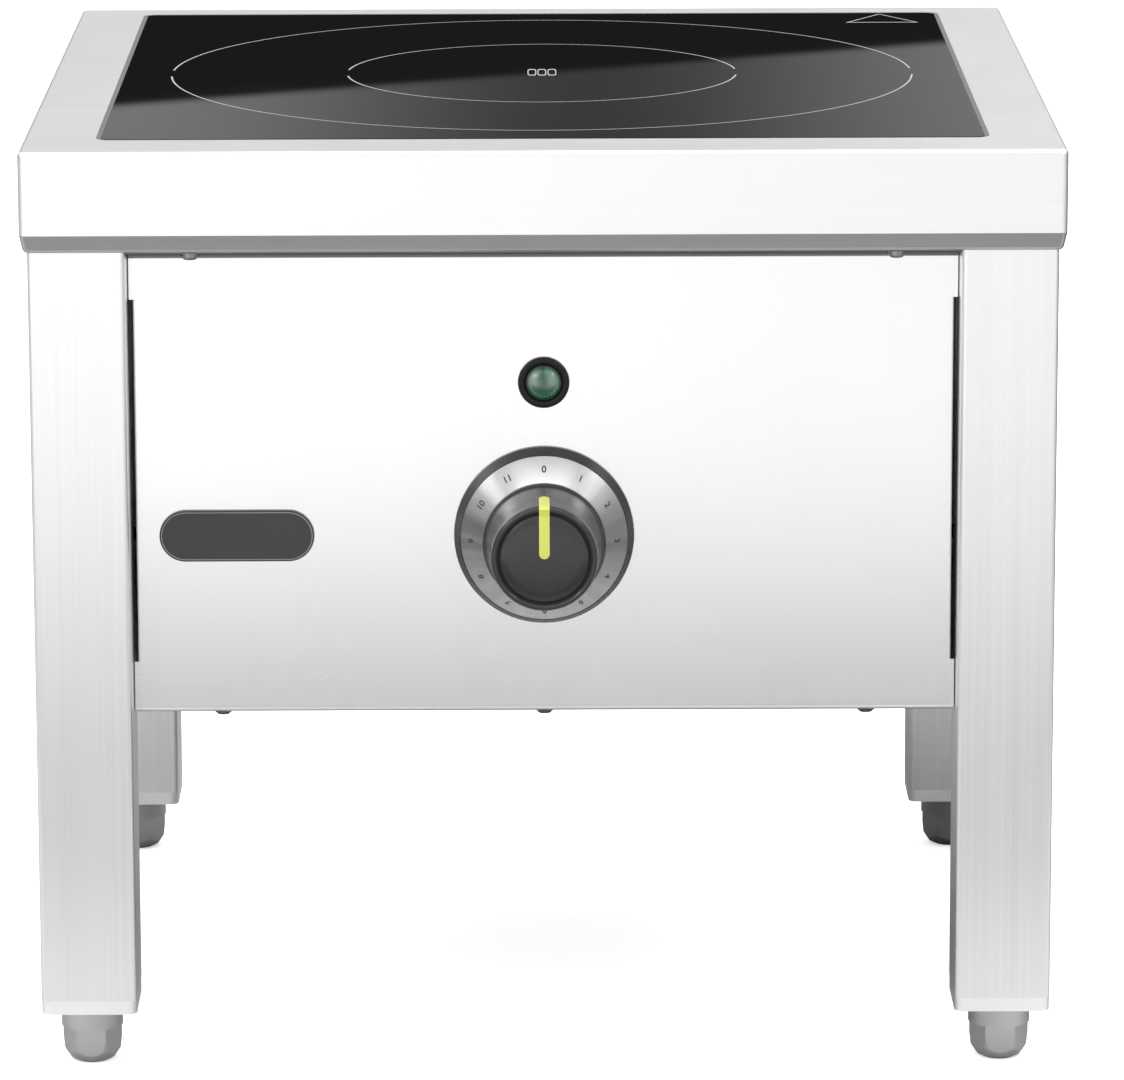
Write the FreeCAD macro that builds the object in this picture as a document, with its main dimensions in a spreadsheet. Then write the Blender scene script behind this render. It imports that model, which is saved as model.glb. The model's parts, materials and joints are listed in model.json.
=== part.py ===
import FreeCAD, Part
import math
import os
import re
import Sketcher

# Floor-standing induction hob: a flush glass plate in a folded tray, on four
# square tube legs, with a boxed generator housing hung between the legs.
# X is to the right, Y to the rear, Z up; the origin is on the floor, at the
# middle of the whole hob from knob tip to tray rear.

SIZES = {
    # whole hob
    "wide": 430, "deep": 420, "tall": 392, "sheet": 1.2,
    # tray
    "tray_corner": 3, "tray_bend": 2, "apron": 34.5, "lip_drop": 7.5, "lip_slant": 12,
    "return_front": 20, "return_side": 18, "return_rear": 45, "part_gap": 0.3,
    # glass and its bedding
    "glass_back": 19.5, "glass_edge": 32, "glass_thick": 4, "glass_corner": 4, "glass_set": 34.5,
    "seal_gap": 2, "seal_low": 0.3, "bond": 0.6, "ledge": 11,
    # legs and rails
    "leg": 40, "leg_wall": 1.5, "leg_bend": 2, "leg_side_set": 3, "leg_front_set": 4, "leg_rear_set": 29,
    "rail": 25, "rail_wall": 1.5,
    # plugs and feet
    "plug_flange": 5.8, "plug_deep": 30, "plug_fit": 0.1, "stud_r": 5, "run_gap": 0.05,
    "foot_tall": 24.4, "foot_neck_r": 13, "foot_low_r": 11.8, "foot_flat": 21, "foot_round": 5,
    "foot_collar": 9,
    "stud_low": 10, "stud_top": 58,
    # housing
    "panel_set": 22, "panel_gap": 0.5, "panel_low": 151.1, "panel_fold": 15, "panel_bend": 3.5,
    "base_bend": 2.5,
    "slot_low": 173, "slot_high": 327, "slot_inset": 1.5, "side_fold": 20,
    "side_in": 21, "side_flange": 14, "rear_in": 47, "rear_flange": 22, "base_turn": 15,
    "vent_long": 60, "vent_wide": 4, "vent_pitch": 12, "vent_low": 215, "vent_count": 9,
    # fasteners
    "screw_r": 2, "screw_gap": 0.05, "head_r": 3.8, "head_tall": 2.6, "head_round": 1.2, "socket_r": 1.2,
    "washer_r": 4.1,
    "washer_thick": 0.8, "shank": 9, "nut_r": 3.6, "nut_tall": 3.2,
    "top_screw_x": 145.5, "top_screw_set": 13.5, "base_screw_x": 135, "base_screw_set": 31,
    "side_screw_up": 9, "side_screw_gap": 19, "rear_screw_x": 110, "flange_screw_out": 8,
    # control
    "dial_z": 227, "bezel_r": 37.5, "bezel_edge": 1.5, "bezel_tall": 7, "bezel_top_r": 35, "bezel_bore": 20,
    "ring_low_r": 34.75, "ring_high_r": 25.7, "ring_high": 18, "ring_wall": 1,
    "knob_low": 18.4, "knob_base_r": 25.6, "knob_top_r": 21.9, "knob_tip": 48, "knob_wall": 2.5,
    "knob_round": 1.4, "roof_low": 40, "hub_low": 12, "hub_r": 6, "shaft_r": 3, "shaft_top": 43.8,
    "shaft_sunk": 19.2,
    "knob_face_r": 18.5, "knob_groove": 0.9, "knob_dish": 0.4,
    "mark_wide": 4.7, "mark_thick": 0.7, "mark_low": 32,
    "bushing_r": 4.9, "bushing_high": 8, "bushing_fit": 0.1, "switch_nut_r": 8, "switch_nut_tall": 2.5,
    "switch_side": 34, "switch_deep": 24,
    # pilot lamp
    "lamp_z": 291.6, "lamp_bezel_r": 10.75, "lamp_bezel_tall": 2.2, "lens_r": 7.35, "lens_gap": 0.05,
    "lens_shoulder": 3, "lens_crown_r": 4.8, "lens_mid": 4.5, "lens_tall": 5, "lamp_r": 7.9, "lamp_fit": 0.1,
    "lamp_deep": 28, "lamp_nut_r": 11, "lamp_nut_tall": 3,
    # badge
    "badge_x": 128, "badge_wide": 64.5, "badge_tall": 21.7, "badge_thick": 1.6, "badge_edge": 0.4,
    # coil stack
    "coil_clear": 3.5, "coil_in": 26, "coil_turns": 14, "coil_fill": 0.82, "coil_top_gap": 5, "coil_thick": 5,
    "former_thick": 3, "former_over": 6, "former_bore": 14, "ferrite_in": 10, "ferrite_wide": 15,
    "ferrite_thick": 5, "ferrite_start": 34, "ferrite_count": 8, "support_thick": 2, "support_arm": 60,
    "sensor_r": 9, "sensor_stem_r": 4, "sensor_head": 4, "mica_thick": 1, "clip_up": 8,
    # fan
    "fan_side": 92, "fan_deep": 25, "fan_bore": 43.5, "rotor_r": 42, "rotor_hub": 18, "rotor_tall": 16,
    "rotor_lift": 6, "fan_post": 3, "fan_strut": 5, "strut_thick": 2, "blade_thick": 1.6, "blade_wide": 20,
    "blade_tilt": 38, "blade_count": 7, "fan_y": 20, "fan_x": -85, "cap_thick": 2, "guard_over": 4,
    "guard_thick": 1.5, "guard_rings": 5, "guard_bar": 2, "guard_start": 9,
    # generator
    "board_wide": 170, "board_margin": 190, "board_thick": 1.6, "board_x": 70, "board_y": 10, "board_up": 10,
    "standoff_r": 3.5, "standoff_in": 8, "sink_wide": 60, "sink_deep": 150, "sink_base": 6, "sink_tall": 45,
    "fin_thick": 2, "fin_count": 8, "cap_r": 15, "cap_tall": 40, "cap_pitch": 38, "cap_in": 30.4,
    "block_wide": 52, "block_deep": 22, "block_tall": 26, "block_way_r": 3.25, "block_back": 90,
    "block_x": -115,
    # rear fittings
    "gland_x": -115, "gland_z": 188, "gland_r": 10, "gland_bore": 6.6, "gland_hex": 13, "gland_hex_thick": 5,
    "gland_cap": 11.5, "gland_out": 24, "gland_in": 12, "gland_nut_thick": 5, "gland_fit": 0.1,
    "bond_x": 120, "bond_z": 182, "bond_r": 3, "bond_out": 20, "bond_in": 8, "bond_nut_r": 5.5,
    "bond_nut_tall": 5,
}

doc = FreeCAD.newDocument("InductionHob")
sheet = doc.addObject("Spreadsheet::Sheet", "Dims")
for row, (alias, value) in enumerate(SIZES.items(), 1):
    sheet.set("A%d" % row, alias)
    sheet.set("B%d" % row, str(value))
    sheet.setAlias("B%d" % row, alias)
doc.recompute()

TURN_UP = FreeCAD.Rotation()
TURN_FRONT = FreeCAD.Rotation(FreeCAD.Vector(1, 0, 0), 90)
TURN_REAR = FreeCAD.Rotation(FreeCAD.Vector(1, 0, 0), -90)
TURN_RIGHT = FreeCAD.Rotation(FreeCAD.Vector(0, 1, 0), 90)
TURN_LEFT = FreeCAD.Rotation(FreeCAD.Vector(0, 1, 0), -90)

PLAIN_WORDS = ("tan", "cos", "deg", "min")

parts = []


def rule(text):
    """An expression on the sheet from plain size names."""
    return re.sub(r"[a-z][a-z_]*[a-z]", lambda m: m.group() if m.group() in PLAIN_WORDS else "Dims." + m.group(),
                  str(text))


def bind(item, prop, text):
    item.setExpression(prop, rule(text))


def place(item, spot, turn=TURN_UP):
    """Puts an item at a spot given as three expressions."""
    item.Placement = FreeCAD.Placement(FreeCAD.Vector(), turn)
    for axis, text in zip("xyz", spot):
        bind(item, "Placement.Base." + axis, text)
    return item


def part(item, label):
    """Keeps an item as a sub-part under its own name."""
    item.Label = label
    parts.append(item)
    return item


def block(low, high, name="Block"):
    """A box between two corners."""
    item = doc.addObject("Part::Box", name)
    for prop, a, b in zip(("Length", "Width", "Height"), low, high):
        bind(item, prop, "(%s) - (%s)" % (b, a))
    return place(item, low)


def rod(spot, radius, length, turn=TURN_UP, name="Rod"):
    item = doc.addObject("Part::Cylinder", name)
    bind(item, "Radius", radius)
    bind(item, "Height", length)
    return place(item, spot, turn)


def hexagon(spot, radius, length, turn=TURN_UP, name="Hexagon"):
    item = doc.addObject("Part::Prism", name)
    item.Polygon = 6
    bind(item, "Circumradius", radius)
    bind(item, "Height", length)
    return place(item, spot, turn)


def fuse(items, name="Joined"):
    if len(items) == 1:
        return items[0]
    item = doc.addObject("Part::MultiFuse", name)
    item.Shapes = items
    item.Refine = True
    return item


def cut(base, tools, name="Trimmed"):
    item = doc.addObject("Part::Cut", name)
    item.Base = base
    item.Tool = fuse(tools)
    return item


def group(items, name="Group"):
    """Separate solids kept together as one node."""
    item = doc.addObject("Part::Compound", name)
    item.Links = items
    return item


def body(name):
    return doc.addObject("PartDesign::Body", name)


def sketch(owner, role, name, offset="0"):
    item = owner.newObject("Sketcher::SketchObject", name)
    plane = next(f for f in owner.Origin.OriginFeatures if f.Role == role)
    item.AttachmentSupport = [(plane, "")]
    item.MapMode = "FlatFace"
    bind(item, "AttachmentOffset.Base.z", offset)
    return item


def pin_point(item, geo, end, spot):
    """Dimensions one sketch point from the sketch origin."""
    for kind, text in zip(("DistanceX", "DistanceY"), spot):
        index = item.addConstraint(Sketcher.Constraint(kind, -1, 1, geo, end, 1.0))
        bind(item, "Constraints[%d]" % index, text)


def polygon(item, points):
    """A closed outline with every corner dimensioned."""
    first = item.GeometryCount
    for k in range(len(points)):
        angle = 2 * math.pi * k / len(points)
        after = 2 * math.pi * (k + 1) / len(points)
        item.addGeometry(Part.LineSegment(FreeCAD.Vector(math.cos(angle), math.sin(angle), 0),
                                          FreeCAD.Vector(math.cos(after), math.sin(after), 0)), False)
    for k in range(len(points)):
        item.addConstraint(Sketcher.Constraint("Coincident", first + k, 2, first + (k + 1) % len(points), 1))
    for k, spot in enumerate(points):
        pin_point(item, first + k, 1, spot)
    return item


def circle(item, spot, radius):
    geo = item.addGeometry(Part.Circle(FreeCAD.Vector(), FreeCAD.Vector(0, 0, 1), 1), False)
    pin_point(item, geo, 3, spot)
    index = item.addConstraint(Sketcher.Constraint("Radius", geo, 1.0))
    bind(item, "Constraints[%d]" % index, radius)
    return item


def corners(low, high):
    return [(low[0], low[1]), (high[0], low[1]), (high[0], high[1]), (low[0], high[1])]


def pad(owner, profile, length, both=False, back=False, taper=None):
    item = owner.newObject("PartDesign::Pad", "Pad")
    item.Profile = profile
    item.SideType = "Symmetric" if both else "One side"
    item.Reversed = back
    bind(item, "Length", length)
    if taper:
        bind(item, "TaperAngle", taper)
    doc.recompute()
    return item


def pocket(owner, profile, length, back=False):
    item = owner.newObject("PartDesign::Pocket", "Pocket")
    item.Profile = profile
    item.Reversed = back
    bind(item, "Length", length)
    doc.recompute()
    return item


def soften(owner, chosen, radius):
    """Rounds the edges of a body's last feature that a test picks."""
    last = owner.Tip
    names = ["Edge%d" % k for k, edge in enumerate(last.Shape.Edges, 1) if chosen(edge)]
    item = owner.newObject("PartDesign::Fillet", "Fillet")
    item.Base = (last, names)
    bind(item, "Radius", radius)
    doc.recompute()
    return item


def upright(edge):
    box = edge.BoundBox
    return box.XLength < 0.01 and box.YLength < 0.01 and box.ZLength > 0.5


def flat_at(level):
    """A test for edges that lie at one height, counted from a body's own origin."""
    return lambda edge: abs(edge.BoundBox.ZMin - level) < 0.01 and abs(edge.BoundBox.ZMax - level) < 0.01


def along_x(y, z):
    """A test for edges along X through one point of the profile."""
    return lambda edge: (edge.BoundBox.XLength > 1 and abs(edge.BoundBox.YMin - y) < 0.01
                         and abs(edge.BoundBox.YMax - y) < 0.01 and abs(edge.BoundBox.ZMin - z) < 0.01
                         and abs(edge.BoundBox.ZMax - z) < 0.01)


def slab(low, high, corner, name="Slab"):
    """An upright prism with rounded corners, between two spots."""
    owner = body(name)
    wide, deep, tall = ("(%s) - (%s)" % (b, a) for a, b in zip(low, high))
    profile = polygon(sketch(owner, "XY_Plane", name + "Outline"), corners(("0", "0"), (wide, deep)))
    pad(owner, profile, tall)
    soften(owner, upright, corner)
    return place(owner, low)


def turned(points, spot, turn=TURN_UP, name="Turned", round_at=None, radius=None):
    """A solid of revolution from radius and height pairs."""
    owner = body(name)
    profile = polygon(sketch(owner, "XZ_Plane", name + "Profile"), points)
    item = owner.newObject("PartDesign::Revolution", "Revolution")
    item.Profile = profile
    item.ReferenceAxis = (profile, ["V_Axis"])
    doc.recompute()
    if radius:
        soften(owner, round_at, radius)
    return place(owner, spot, turn)


def value(text):
    """The number an expression of size names comes to, worked out on the sheet itself."""
    sheet.set("D1", "=" + rule(text).replace("Dims.", ""))
    doc.recompute()
    return float(sheet.get("D1"))


# Shared places.
FRONT = "(knob_tip - panel_set - deep) / 2"
REAR = "(knob_tip - panel_set + deep) / 2"
LIP_IN = "lip_drop * tan(lip_slant * 1deg)"
TRAY_LOW = "tall - apron - lip_drop"
POCKET_TOP = "tall - glass_thick - bond"
FRAME_TOP = POCKET_TOP + " - sheet"
LEG_X = "wide / 2 - leg_side_set"
LEG_IN = "wide / 2 - leg_side_set - leg"
GLASS_HALF = "min(deep - glass_set - glass_back; wide - 2 * glass_edge) / 2"
GLASS_Y = FRONT + " + glass_set + " + GLASS_HALF
LEG_FRONT = FRONT + " + leg_front_set"
LEG_REAR = REAR + " - leg_rear_set"
PLUG_LOW = "foot_tall + part_gap"
LEG_LOW = PLUG_LOW + " + plug_flange"
FACE = FRONT + " + panel_set"
FACE_X = LEG_IN + " - panel_gap"
BASE_Z = "panel_low + sheet"
SIDE_X = "wide / 2 - side_in"
REAR_Y = REAR + " - rear_in"
SIDE_FRONT = LEG_FRONT + " + leg + part_gap"
SIDE_REAR = LEG_REAR + " - leg - part_gap"

sides = {"left": "-1", "right": "1"}


def mirrored(sign, low, high):
    """The X limits of something on one side, the lower first."""
    return (low, high) if sign == "1" else ("-(%s)" % high, "-(%s)" % low)


def square(half, low, high, corner, name, y=GLASS_Y):
    return slab(("-(%s)" % half, y + " - (%s)" % half, low), (half, y + " + (%s)" % half, high), corner, name)


# Tray: a folded sheet pan, upside down, with a stepped seat for the glass.
def tray_shell(inset, low, high, name):
    """The tray's outline, drawn in by an inset, from its return flange up."""
    owner = body(name)
    outline = corners(("-wide / 2 + %s" % inset, "%s + %s" % (FRONT, inset)),
                      ("wide / 2 - %s" % inset, "%s - %s" % (REAR, inset)))
    pad(owner, polygon(sketch(owner, "XY_Plane", name + "Apron", "tall - apron"), outline),
        "%s - tall + apron" % high)
    pad(owner, polygon(sketch(owner, "XY_Plane", name + "Lip", "tall - apron"), outline),
        "tall - apron - (%s)" % low, back=True, taper="-lip_slant")
    soften(owner, lambda e: e.BoundBox.ZLength > 5, "tray_corner - " + inset)
    return owner


outer = tray_shell("0", TRAY_LOW, "tall", "TrayOuter")
soften(outer, flat_at(value("tall")), "tray_bend")
soften(outer, flat_at(value(TRAY_LOW)), "tray_bend")
inner = tray_shell("sheet", TRAY_LOW + " + sheet", "tall - sheet", "TrayInner")
soften(inner, flat_at(value("tall - sheet")), "tray_bend - sheet")
step = square(GLASS_HALF + " + seal_gap + sheet", FRAME_TOP, "tall - sheet / 2",
              "glass_corner + seal_gap + sheet", "GlassStep")
recess = square(GLASS_HALF + " + seal_gap", POCKET_TOP, "tall + sheet", "glass_corner + seal_gap",
                "GlassRecess")
window = square(GLASS_HALF + " + seal_gap - ledge", FRAME_TOP + " - sheet", "tall", "glass_corner",
                "GlassWindow")
well = slab(("-wide / 2 + return_side + " + LIP_IN, FRONT + " + return_front + " + LIP_IN,
             TRAY_LOW + " - sheet"),
            ("wide / 2 - return_side - " + LIP_IN, REAR + " - return_rear - " + LIP_IN,
             TRAY_LOW + " + 2 * sheet"),
            "tray_corner", "TrayWell")
notches = []
for sign in sides.values():
    x0, x1 = mirrored(sign, LEG_IN + " - part_gap", LEG_X + " + part_gap")
    for y0 in (LEG_FRONT, LEG_REAR + " - leg"):
        notches.append(block((x0, y0 + " - part_gap", TRAY_LOW + " - sheet"),
                             (x1, y0 + " + leg + part_gap", TRAY_LOW + " + 1.5 * sheet"), "LegNotch"))

# Fastener places: x, y, z of the sheet face under the head, and the way the shank goes.
top_z = TRAY_LOW + " - sheet"
flange_y = REAR_Y + " + rear_flange - flange_screw_out"
side_ys = (SIDE_FRONT + " + side_screw_up + side_screw_gap", SIDE_REAR + " - side_screw_up - side_screw_gap")
flange_spots = [(s + " * top_screw_x", FRONT + " + top_screw_set", top_z) for s in sides.values()]
flange_spots += [(s + " * rear_screw_x", flange_y, top_z) for s in sides.values()]
flange_spots += [(s + " * (%s + side_flange - flange_screw_out)" % SIDE_X, y, top_z)
                 for s in sides.values() for y in side_ys]
base_spots = [(k + " * base_screw_x", FRONT + " + base_screw_set", "panel_low") for k in ("-1", "0", "1")]
side_spots = [(s + " * (%s)" % SIDE_X, y, BASE_Z + " + side_screw_up") for s in sides.values() for y in side_ys]
rear_spots = [(s + " * rear_screw_x", REAR_Y, BASE_Z + " + side_screw_up") for s in sides.values()]


def screw_holes(spots, turns):
    """Clearance holes through the sheets that screws pass."""
    return [rod(back_from(spot, turn), "screw_r + screw_gap", "shank * 2", turn, "ScrewHole")
            for spot, turn in zip(spots, turns)]


def back_from(spot, turn, step_by="shank"):
    """A spot moved against the way a turn points."""
    way = turn.multVec(FreeCAD.Vector(0, 0, 1))
    return tuple("%s - (%d) * (%s)" % (text, round(part_of), step_by)
                 for text, part_of in zip(spot, (way.x, way.y, way.z)))


UPS = [TURN_UP] * len(flange_spots)
INS = [TURN_RIGHT, TURN_RIGHT, TURN_LEFT, TURN_LEFT]
REARS = [TURN_FRONT] * len(rear_spots)

tray = cut(fuse([cut(outer, [inner], "TrayShell"), step], "TrayBlank"),
           [recess, window, well] + notches + screw_holes(flange_spots, UPS), "Tray")
part(tray, "top_tray")

# Glass plate, its bonded bed and the bead round its edge.
part(square(GLASS_HALF, "tall - glass_thick", "tall", "glass_corner", "Glass"), "glass_plate")
part(cut(square(GLASS_HALF + " + seal_gap", POCKET_TOP, "tall - seal_low", "glass_corner + seal_gap",
                "SealOuter"),
         [square(GLASS_HALF, "tall - glass_thick", "tall + sheet", "glass_corner", "SealGlass"),
          square(GLASS_HALF + " + seal_gap - ledge", POCKET_TOP + " - sheet", "tall", "glass_corner",
                 "SealWindow")], "Seal"), "glass_seal")

# Legs, plugs, studs and feet.
ends = {"front": LEG_FRONT, "rear": LEG_REAR + " - leg"}
for end, y0 in ends.items():
    for side, sign in sides.items():
        where = end + "_" + side
        x0, x1 = mirrored(sign, LEG_IN, LEG_X)
        middle = (x0 + " + leg / 2", y0 + " + leg / 2")
        shell = slab((x0, y0, LEG_LOW), (x1, y0 + " + leg", FRAME_TOP), "leg_bend", "LegShell")
        hollow = block((x0 + " + leg_wall", y0 + " + leg_wall", LEG_LOW + " - leg_wall"),
                       (x1 + " - leg_wall", y0 + " + leg - leg_wall", FRAME_TOP + " + leg_wall"), "LegHollow")
        part(cut(shell, [hollow], "Leg"), "leg_" + where)
        flange = slab((x0, y0, PLUG_LOW), (x1, y0 + " + leg", LEG_LOW), "leg_bend * 2", "PlugFlange")
        insert = block((x0 + " + leg_wall + plug_fit", y0 + " + leg_wall + plug_fit", LEG_LOW + " - leg_wall"),
                       (x1 + " - leg_wall - plug_fit", y0 + " + leg - leg_wall - plug_fit",
                        LEG_LOW + " + plug_deep"), "PlugInsert")
        thread = rod(middle + ("foot_tall - stud_r",), "stud_r + run_gap", "plug_deep * 2", name="PlugThread")
        part(cut(fuse([flange, insert], "PlugBlank"), [thread], "Plug"), "leg_plug_" + where)
        part(rod(middle + ("stud_low",), "stud_r", "stud_top - stud_low", name="Stud"), "foot_stud_" + where)
        round_foot = turned([("stud_r + run_gap", "stud_low - part_gap"), ("stud_r + run_gap", "foot_tall"),
                             ("foot_neck_r", "foot_tall"), ("foot_neck_r", "foot_tall - foot_collar"),
                             ("foot_low_r", "foot_round"), ("foot_low_r - foot_round / 2", "foot_round / 4"),
                             ("foot_low_r - foot_round", "0"), ("0", "0"), ("0", "stud_low - part_gap")],
                            middle + ("0",), name="FootTurned")
        flats = hexagon(middle + ("-foot_round",), "foot_flat / 2 / cos(30deg) + part_gap",
                        "foot_tall + foot_round - foot_collar", name="FootFlats")
        collar = rod(middle + ("foot_tall - foot_collar",), "foot_neck_r", "foot_collar", name="FootCollar")
        hexed = doc.addObject("Part::MultiCommon", "FootHexed")
        hexed.Shapes = [round_foot, fuse([flats, collar], "FootGauge")]
        part(hexed, "foot_" + where)

# Rails between the legs, flush with the legs' inner faces.
RAIL_LOW = FRAME_TOP + " - rail"
rail_spans = {
    "front": (("-(%s)" % LEG_IN, LEG_FRONT + " + leg - rail"), (LEG_IN, LEG_FRONT + " + leg")),
    "rear": (("-(%s)" % LEG_IN, LEG_REAR + " - leg"), (LEG_IN, LEG_REAR + " - leg + rail")),
    "left": (("-(%s) - rail" % LEG_IN, LEG_FRONT + " + leg"), ("-(%s)" % LEG_IN, LEG_REAR + " - leg")),
    "right": ((LEG_IN, LEG_FRONT + " + leg"), (LEG_IN + " + rail", LEG_REAR + " - leg")),
}
for side, (low, high) in rail_spans.items():
    over = ("rail_wall", "-rail_wall") if side in ("front", "rear") else ("-rail_wall", "rail_wall")
    tube = block(low + (RAIL_LOW,), high + (FRAME_TOP,), "RailShell")
    hollow = block((low[0] + " - (%s)" % over[0], low[1] + " - (%s)" % over[1], RAIL_LOW + " + rail_wall"),
                   (high[0] + " + (%s)" % over[0], high[1] + " + (%s)" % over[1], FRAME_TOP + " - rail_wall"),
                   "RailHollow")
    part(cut(tube, [hollow], "Rail"), "rail_" + side)

# Front panel: folded sheet with a forward top flange, a bottom return and two side returns.
panel = body("FrontPanel")
profile = [(FACE, "panel_low"), (FACE, top_z), (FACE + " - panel_fold", top_z),
           (FACE + " - panel_fold", TRAY_LOW),
           (FACE + " + sheet", TRAY_LOW), (FACE + " + sheet", BASE_Z), (FACE + " + panel_fold", BASE_Z),
           (FACE + " + panel_fold", "panel_low")]
pad(panel, polygon(sketch(panel, "YZ_Plane", "PanelProfile"), profile), "2 * (%s)" % FACE_X, both=True)
soften(panel, along_x(value(FACE), value(top_z)), "panel_bend")
soften(panel, along_x(value(FACE + " + sheet"), value(TRAY_LOW)), "panel_bend + sheet")
soften(panel, along_x(value(FACE), value("panel_low")), "base_bend")
soften(panel, along_x(value(FACE + " + sheet"), value(BASE_Z)), "base_bend - sheet")
EDGE_X = FACE_X + " - slot_inset"
strips = sketch(panel, "XY_Plane", "PanelStrips", "slot_low")
folds = sketch(panel, "XY_Plane", "PanelFolds", "slot_low")
for sign in sides.values():
    x0, x1 = mirrored(sign, EDGE_X, FACE_X + " + slot_inset")
    polygon(strips, corners((x0, FACE + " - sheet"), (x1, FACE + " + 2 * sheet")))
    x0, x1 = mirrored(sign, EDGE_X + " - sheet", EDGE_X)
    polygon(folds, corners((x0, FACE + " + sheet / 2"), (x1, FACE + " + side_fold")))
pocket(panel, strips, "slot_high - slot_low", back=True)
pad(panel, folds, "slot_high - slot_low")
holes = sketch(panel, "XZ_Plane", "PanelHoles", "-(%s) - 2 * sheet" % FACE)
circle(holes, ("0", "dial_z"), "bushing_r + bushing_fit")
circle(holes, ("0", "lamp_z"), "lamp_r + lamp_fit * 2")
pocket(panel, holes, "4 * sheet", back=True)
face_y = value(FACE)
soften(panel, lambda e: upright(e) and abs(e.BoundBox.YMin - face_y) < 0.01 and abs(
    e.BoundBox.ZMin - SIZES["slot_low"]) < 0.01, "sheet * 0.8")
part(cut(panel, screw_holes(flange_spots[:2], UPS[:2]) + screw_holes(base_spots, UPS[:3]), "PanelDrilled"),
     "front_panel")

# Side panels: upright sheets between the legs, each with an outward top flange and a row of vents.
for side, sign in sides.items():
    x0, x1 = mirrored(sign, SIDE_X + " - sheet", SIDE_X)
    wall = block((x0, SIDE_FRONT, BASE_Z), (x1, SIDE_REAR, TRAY_LOW), "SideWall")
    x0, x1 = mirrored(sign, SIDE_X + " - sheet", SIDE_X + " + side_flange")
    fold = block((x0, SIDE_FRONT, top_z), (x1, SIDE_REAR, TRAY_LOW), "SideFold")
    x0, x1 = mirrored(sign, SIDE_X + " - 3 * sheet", SIDE_X + " + 3 * sheet")
    vents = []
    for k in range(SIZES["vent_count"]):
        y0 = "(%s + %s) / 2 + (%d - (vent_count - 1) / 2) * vent_pitch * 2" % (SIDE_FRONT, SIDE_REAR, k)
        vents.append(block((x0, y0 + " - vent_wide / 2", "vent_low"),
                           (x1, y0 + " + vent_wide / 2", "vent_low + vent_long"), "SideVent"))
    spots = [s for s, t in zip(side_spots, INS) if (s[0][:2] == "-1") == (sign == "-1")]
    turns = [TURN_RIGHT if sign == "-1" else TURN_LEFT] * len(spots)
    tops = [s for s in flange_spots[4:] if (s[0][:2] == "-1") == (sign == "-1")]
    part(cut(fuse([wall, fold], "SideBlank"),
             vents + screw_holes(spots, turns) + screw_holes(tops, UPS[:len(tops)]), "SidePanel"),
         "side_panel_" + side)

# Rear panel with the air outlet, the cable gland hole and the bonding stud hole.
rear_wall = block(("-(%s)" % FACE_X, REAR_Y + " - sheet", BASE_Z), (FACE_X, REAR_Y, TRAY_LOW), "RearWall")
rear_fold = block(("-(%s)" % FACE_X, REAR_Y + " - sheet", top_z), (FACE_X, REAR_Y + " + rear_flange", TRAY_LOW),
                  "RearFold")
outlets = []
for k in range(SIZES["vent_count"] * 2):
    x = "(%d - (vent_count * 2 - 1) / 2) * vent_pitch" % k
    outlets.append(block((x + " - vent_wide / 2", REAR_Y + " - 3 * sheet", "vent_low + vent_pitch"),
                         (x + " + vent_wide / 2", REAR_Y + " + 2 * sheet", "vent_low + vent_pitch + vent_long"),
                         "Outlet"))
fittings = [rod(("gland_x", REAR_Y + " - 3 * sheet", "gland_z"), "gland_r + gland_fit", "6 * sheet", TURN_REAR),
            rod(("bond_x", REAR_Y + " - 3 * sheet", "bond_z"), "bond_r + gland_fit", "6 * sheet", TURN_REAR)]
part(cut(fuse([rear_wall, rear_fold], "RearBlank"),
         outlets + fittings + screw_holes(rear_spots, REARS) + screw_holes(flange_spots[2:4], UPS[:2]),
         "RearPanel"), "rear_panel")

# Base plate: flat between the panels, with upturned edges at the sides and rear and the fan's air inlet.
BASE_TOP = BASE_Z + " + sheet"
FAN_Y = FRONT + " + deep / 2 + fan_y"
core = block(("-(%s)" % FACE_X, FACE + " + base_bend", BASE_Z), (FACE_X, REAR_Y + " - sheet", BASE_TOP),
             "BaseCore")
wings = block(("-(%s) + sheet" % SIDE_X, SIDE_FRONT, BASE_Z), (SIDE_X + " - sheet", SIDE_REAR, BASE_TOP),
              "BaseWings")
turn_ups = [block(("-(%s)" % FACE_X, REAR_Y + " - 2 * sheet", BASE_Z),
                  (FACE_X, REAR_Y + " - sheet", BASE_Z + " + base_turn"), "BaseRearTurn")]
for sign in sides.values():
    x0, x1 = mirrored(sign, SIDE_X + " - 2 * sheet", SIDE_X + " - sheet")
    turn_ups.append(block((x0, SIDE_FRONT, BASE_Z), (x1, SIDE_REAR, BASE_Z + " + base_turn"), "BaseTurn"))
inlet = rod(("fan_x", FAN_Y, "panel_low"), "fan_bore", "4 * sheet", name="Inlet")
part(cut(fuse([core, wings] + turn_ups, "BaseBlank"),
         [inlet] + screw_holes(base_spots, UPS[:3]) + screw_holes(side_spots, INS)
         + screw_holes(rear_spots, REARS), "Base"), "base_plate")


# Screws, washers and clinch nuts.
def screw(spot, turn, sunk="0"):
    start = back_from(spot, turn, sunk)
    head = turned([("0", "0 - head_tall"), ("head_r - head_round", "0 - head_tall"),
                   ("head_r", "head_round - head_tall"), ("head_r", "0"), ("screw_r", "0"),
                   ("screw_r", "shank"),
                   ("0", "shank")], start, turn, "Screw")
    socket = hexagon(back_from(start, turn, "head_tall + sheet"), "socket_r", "sheet * 2", turn, "Socket")
    return cut(head, [socket], "ScrewCut")


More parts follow.
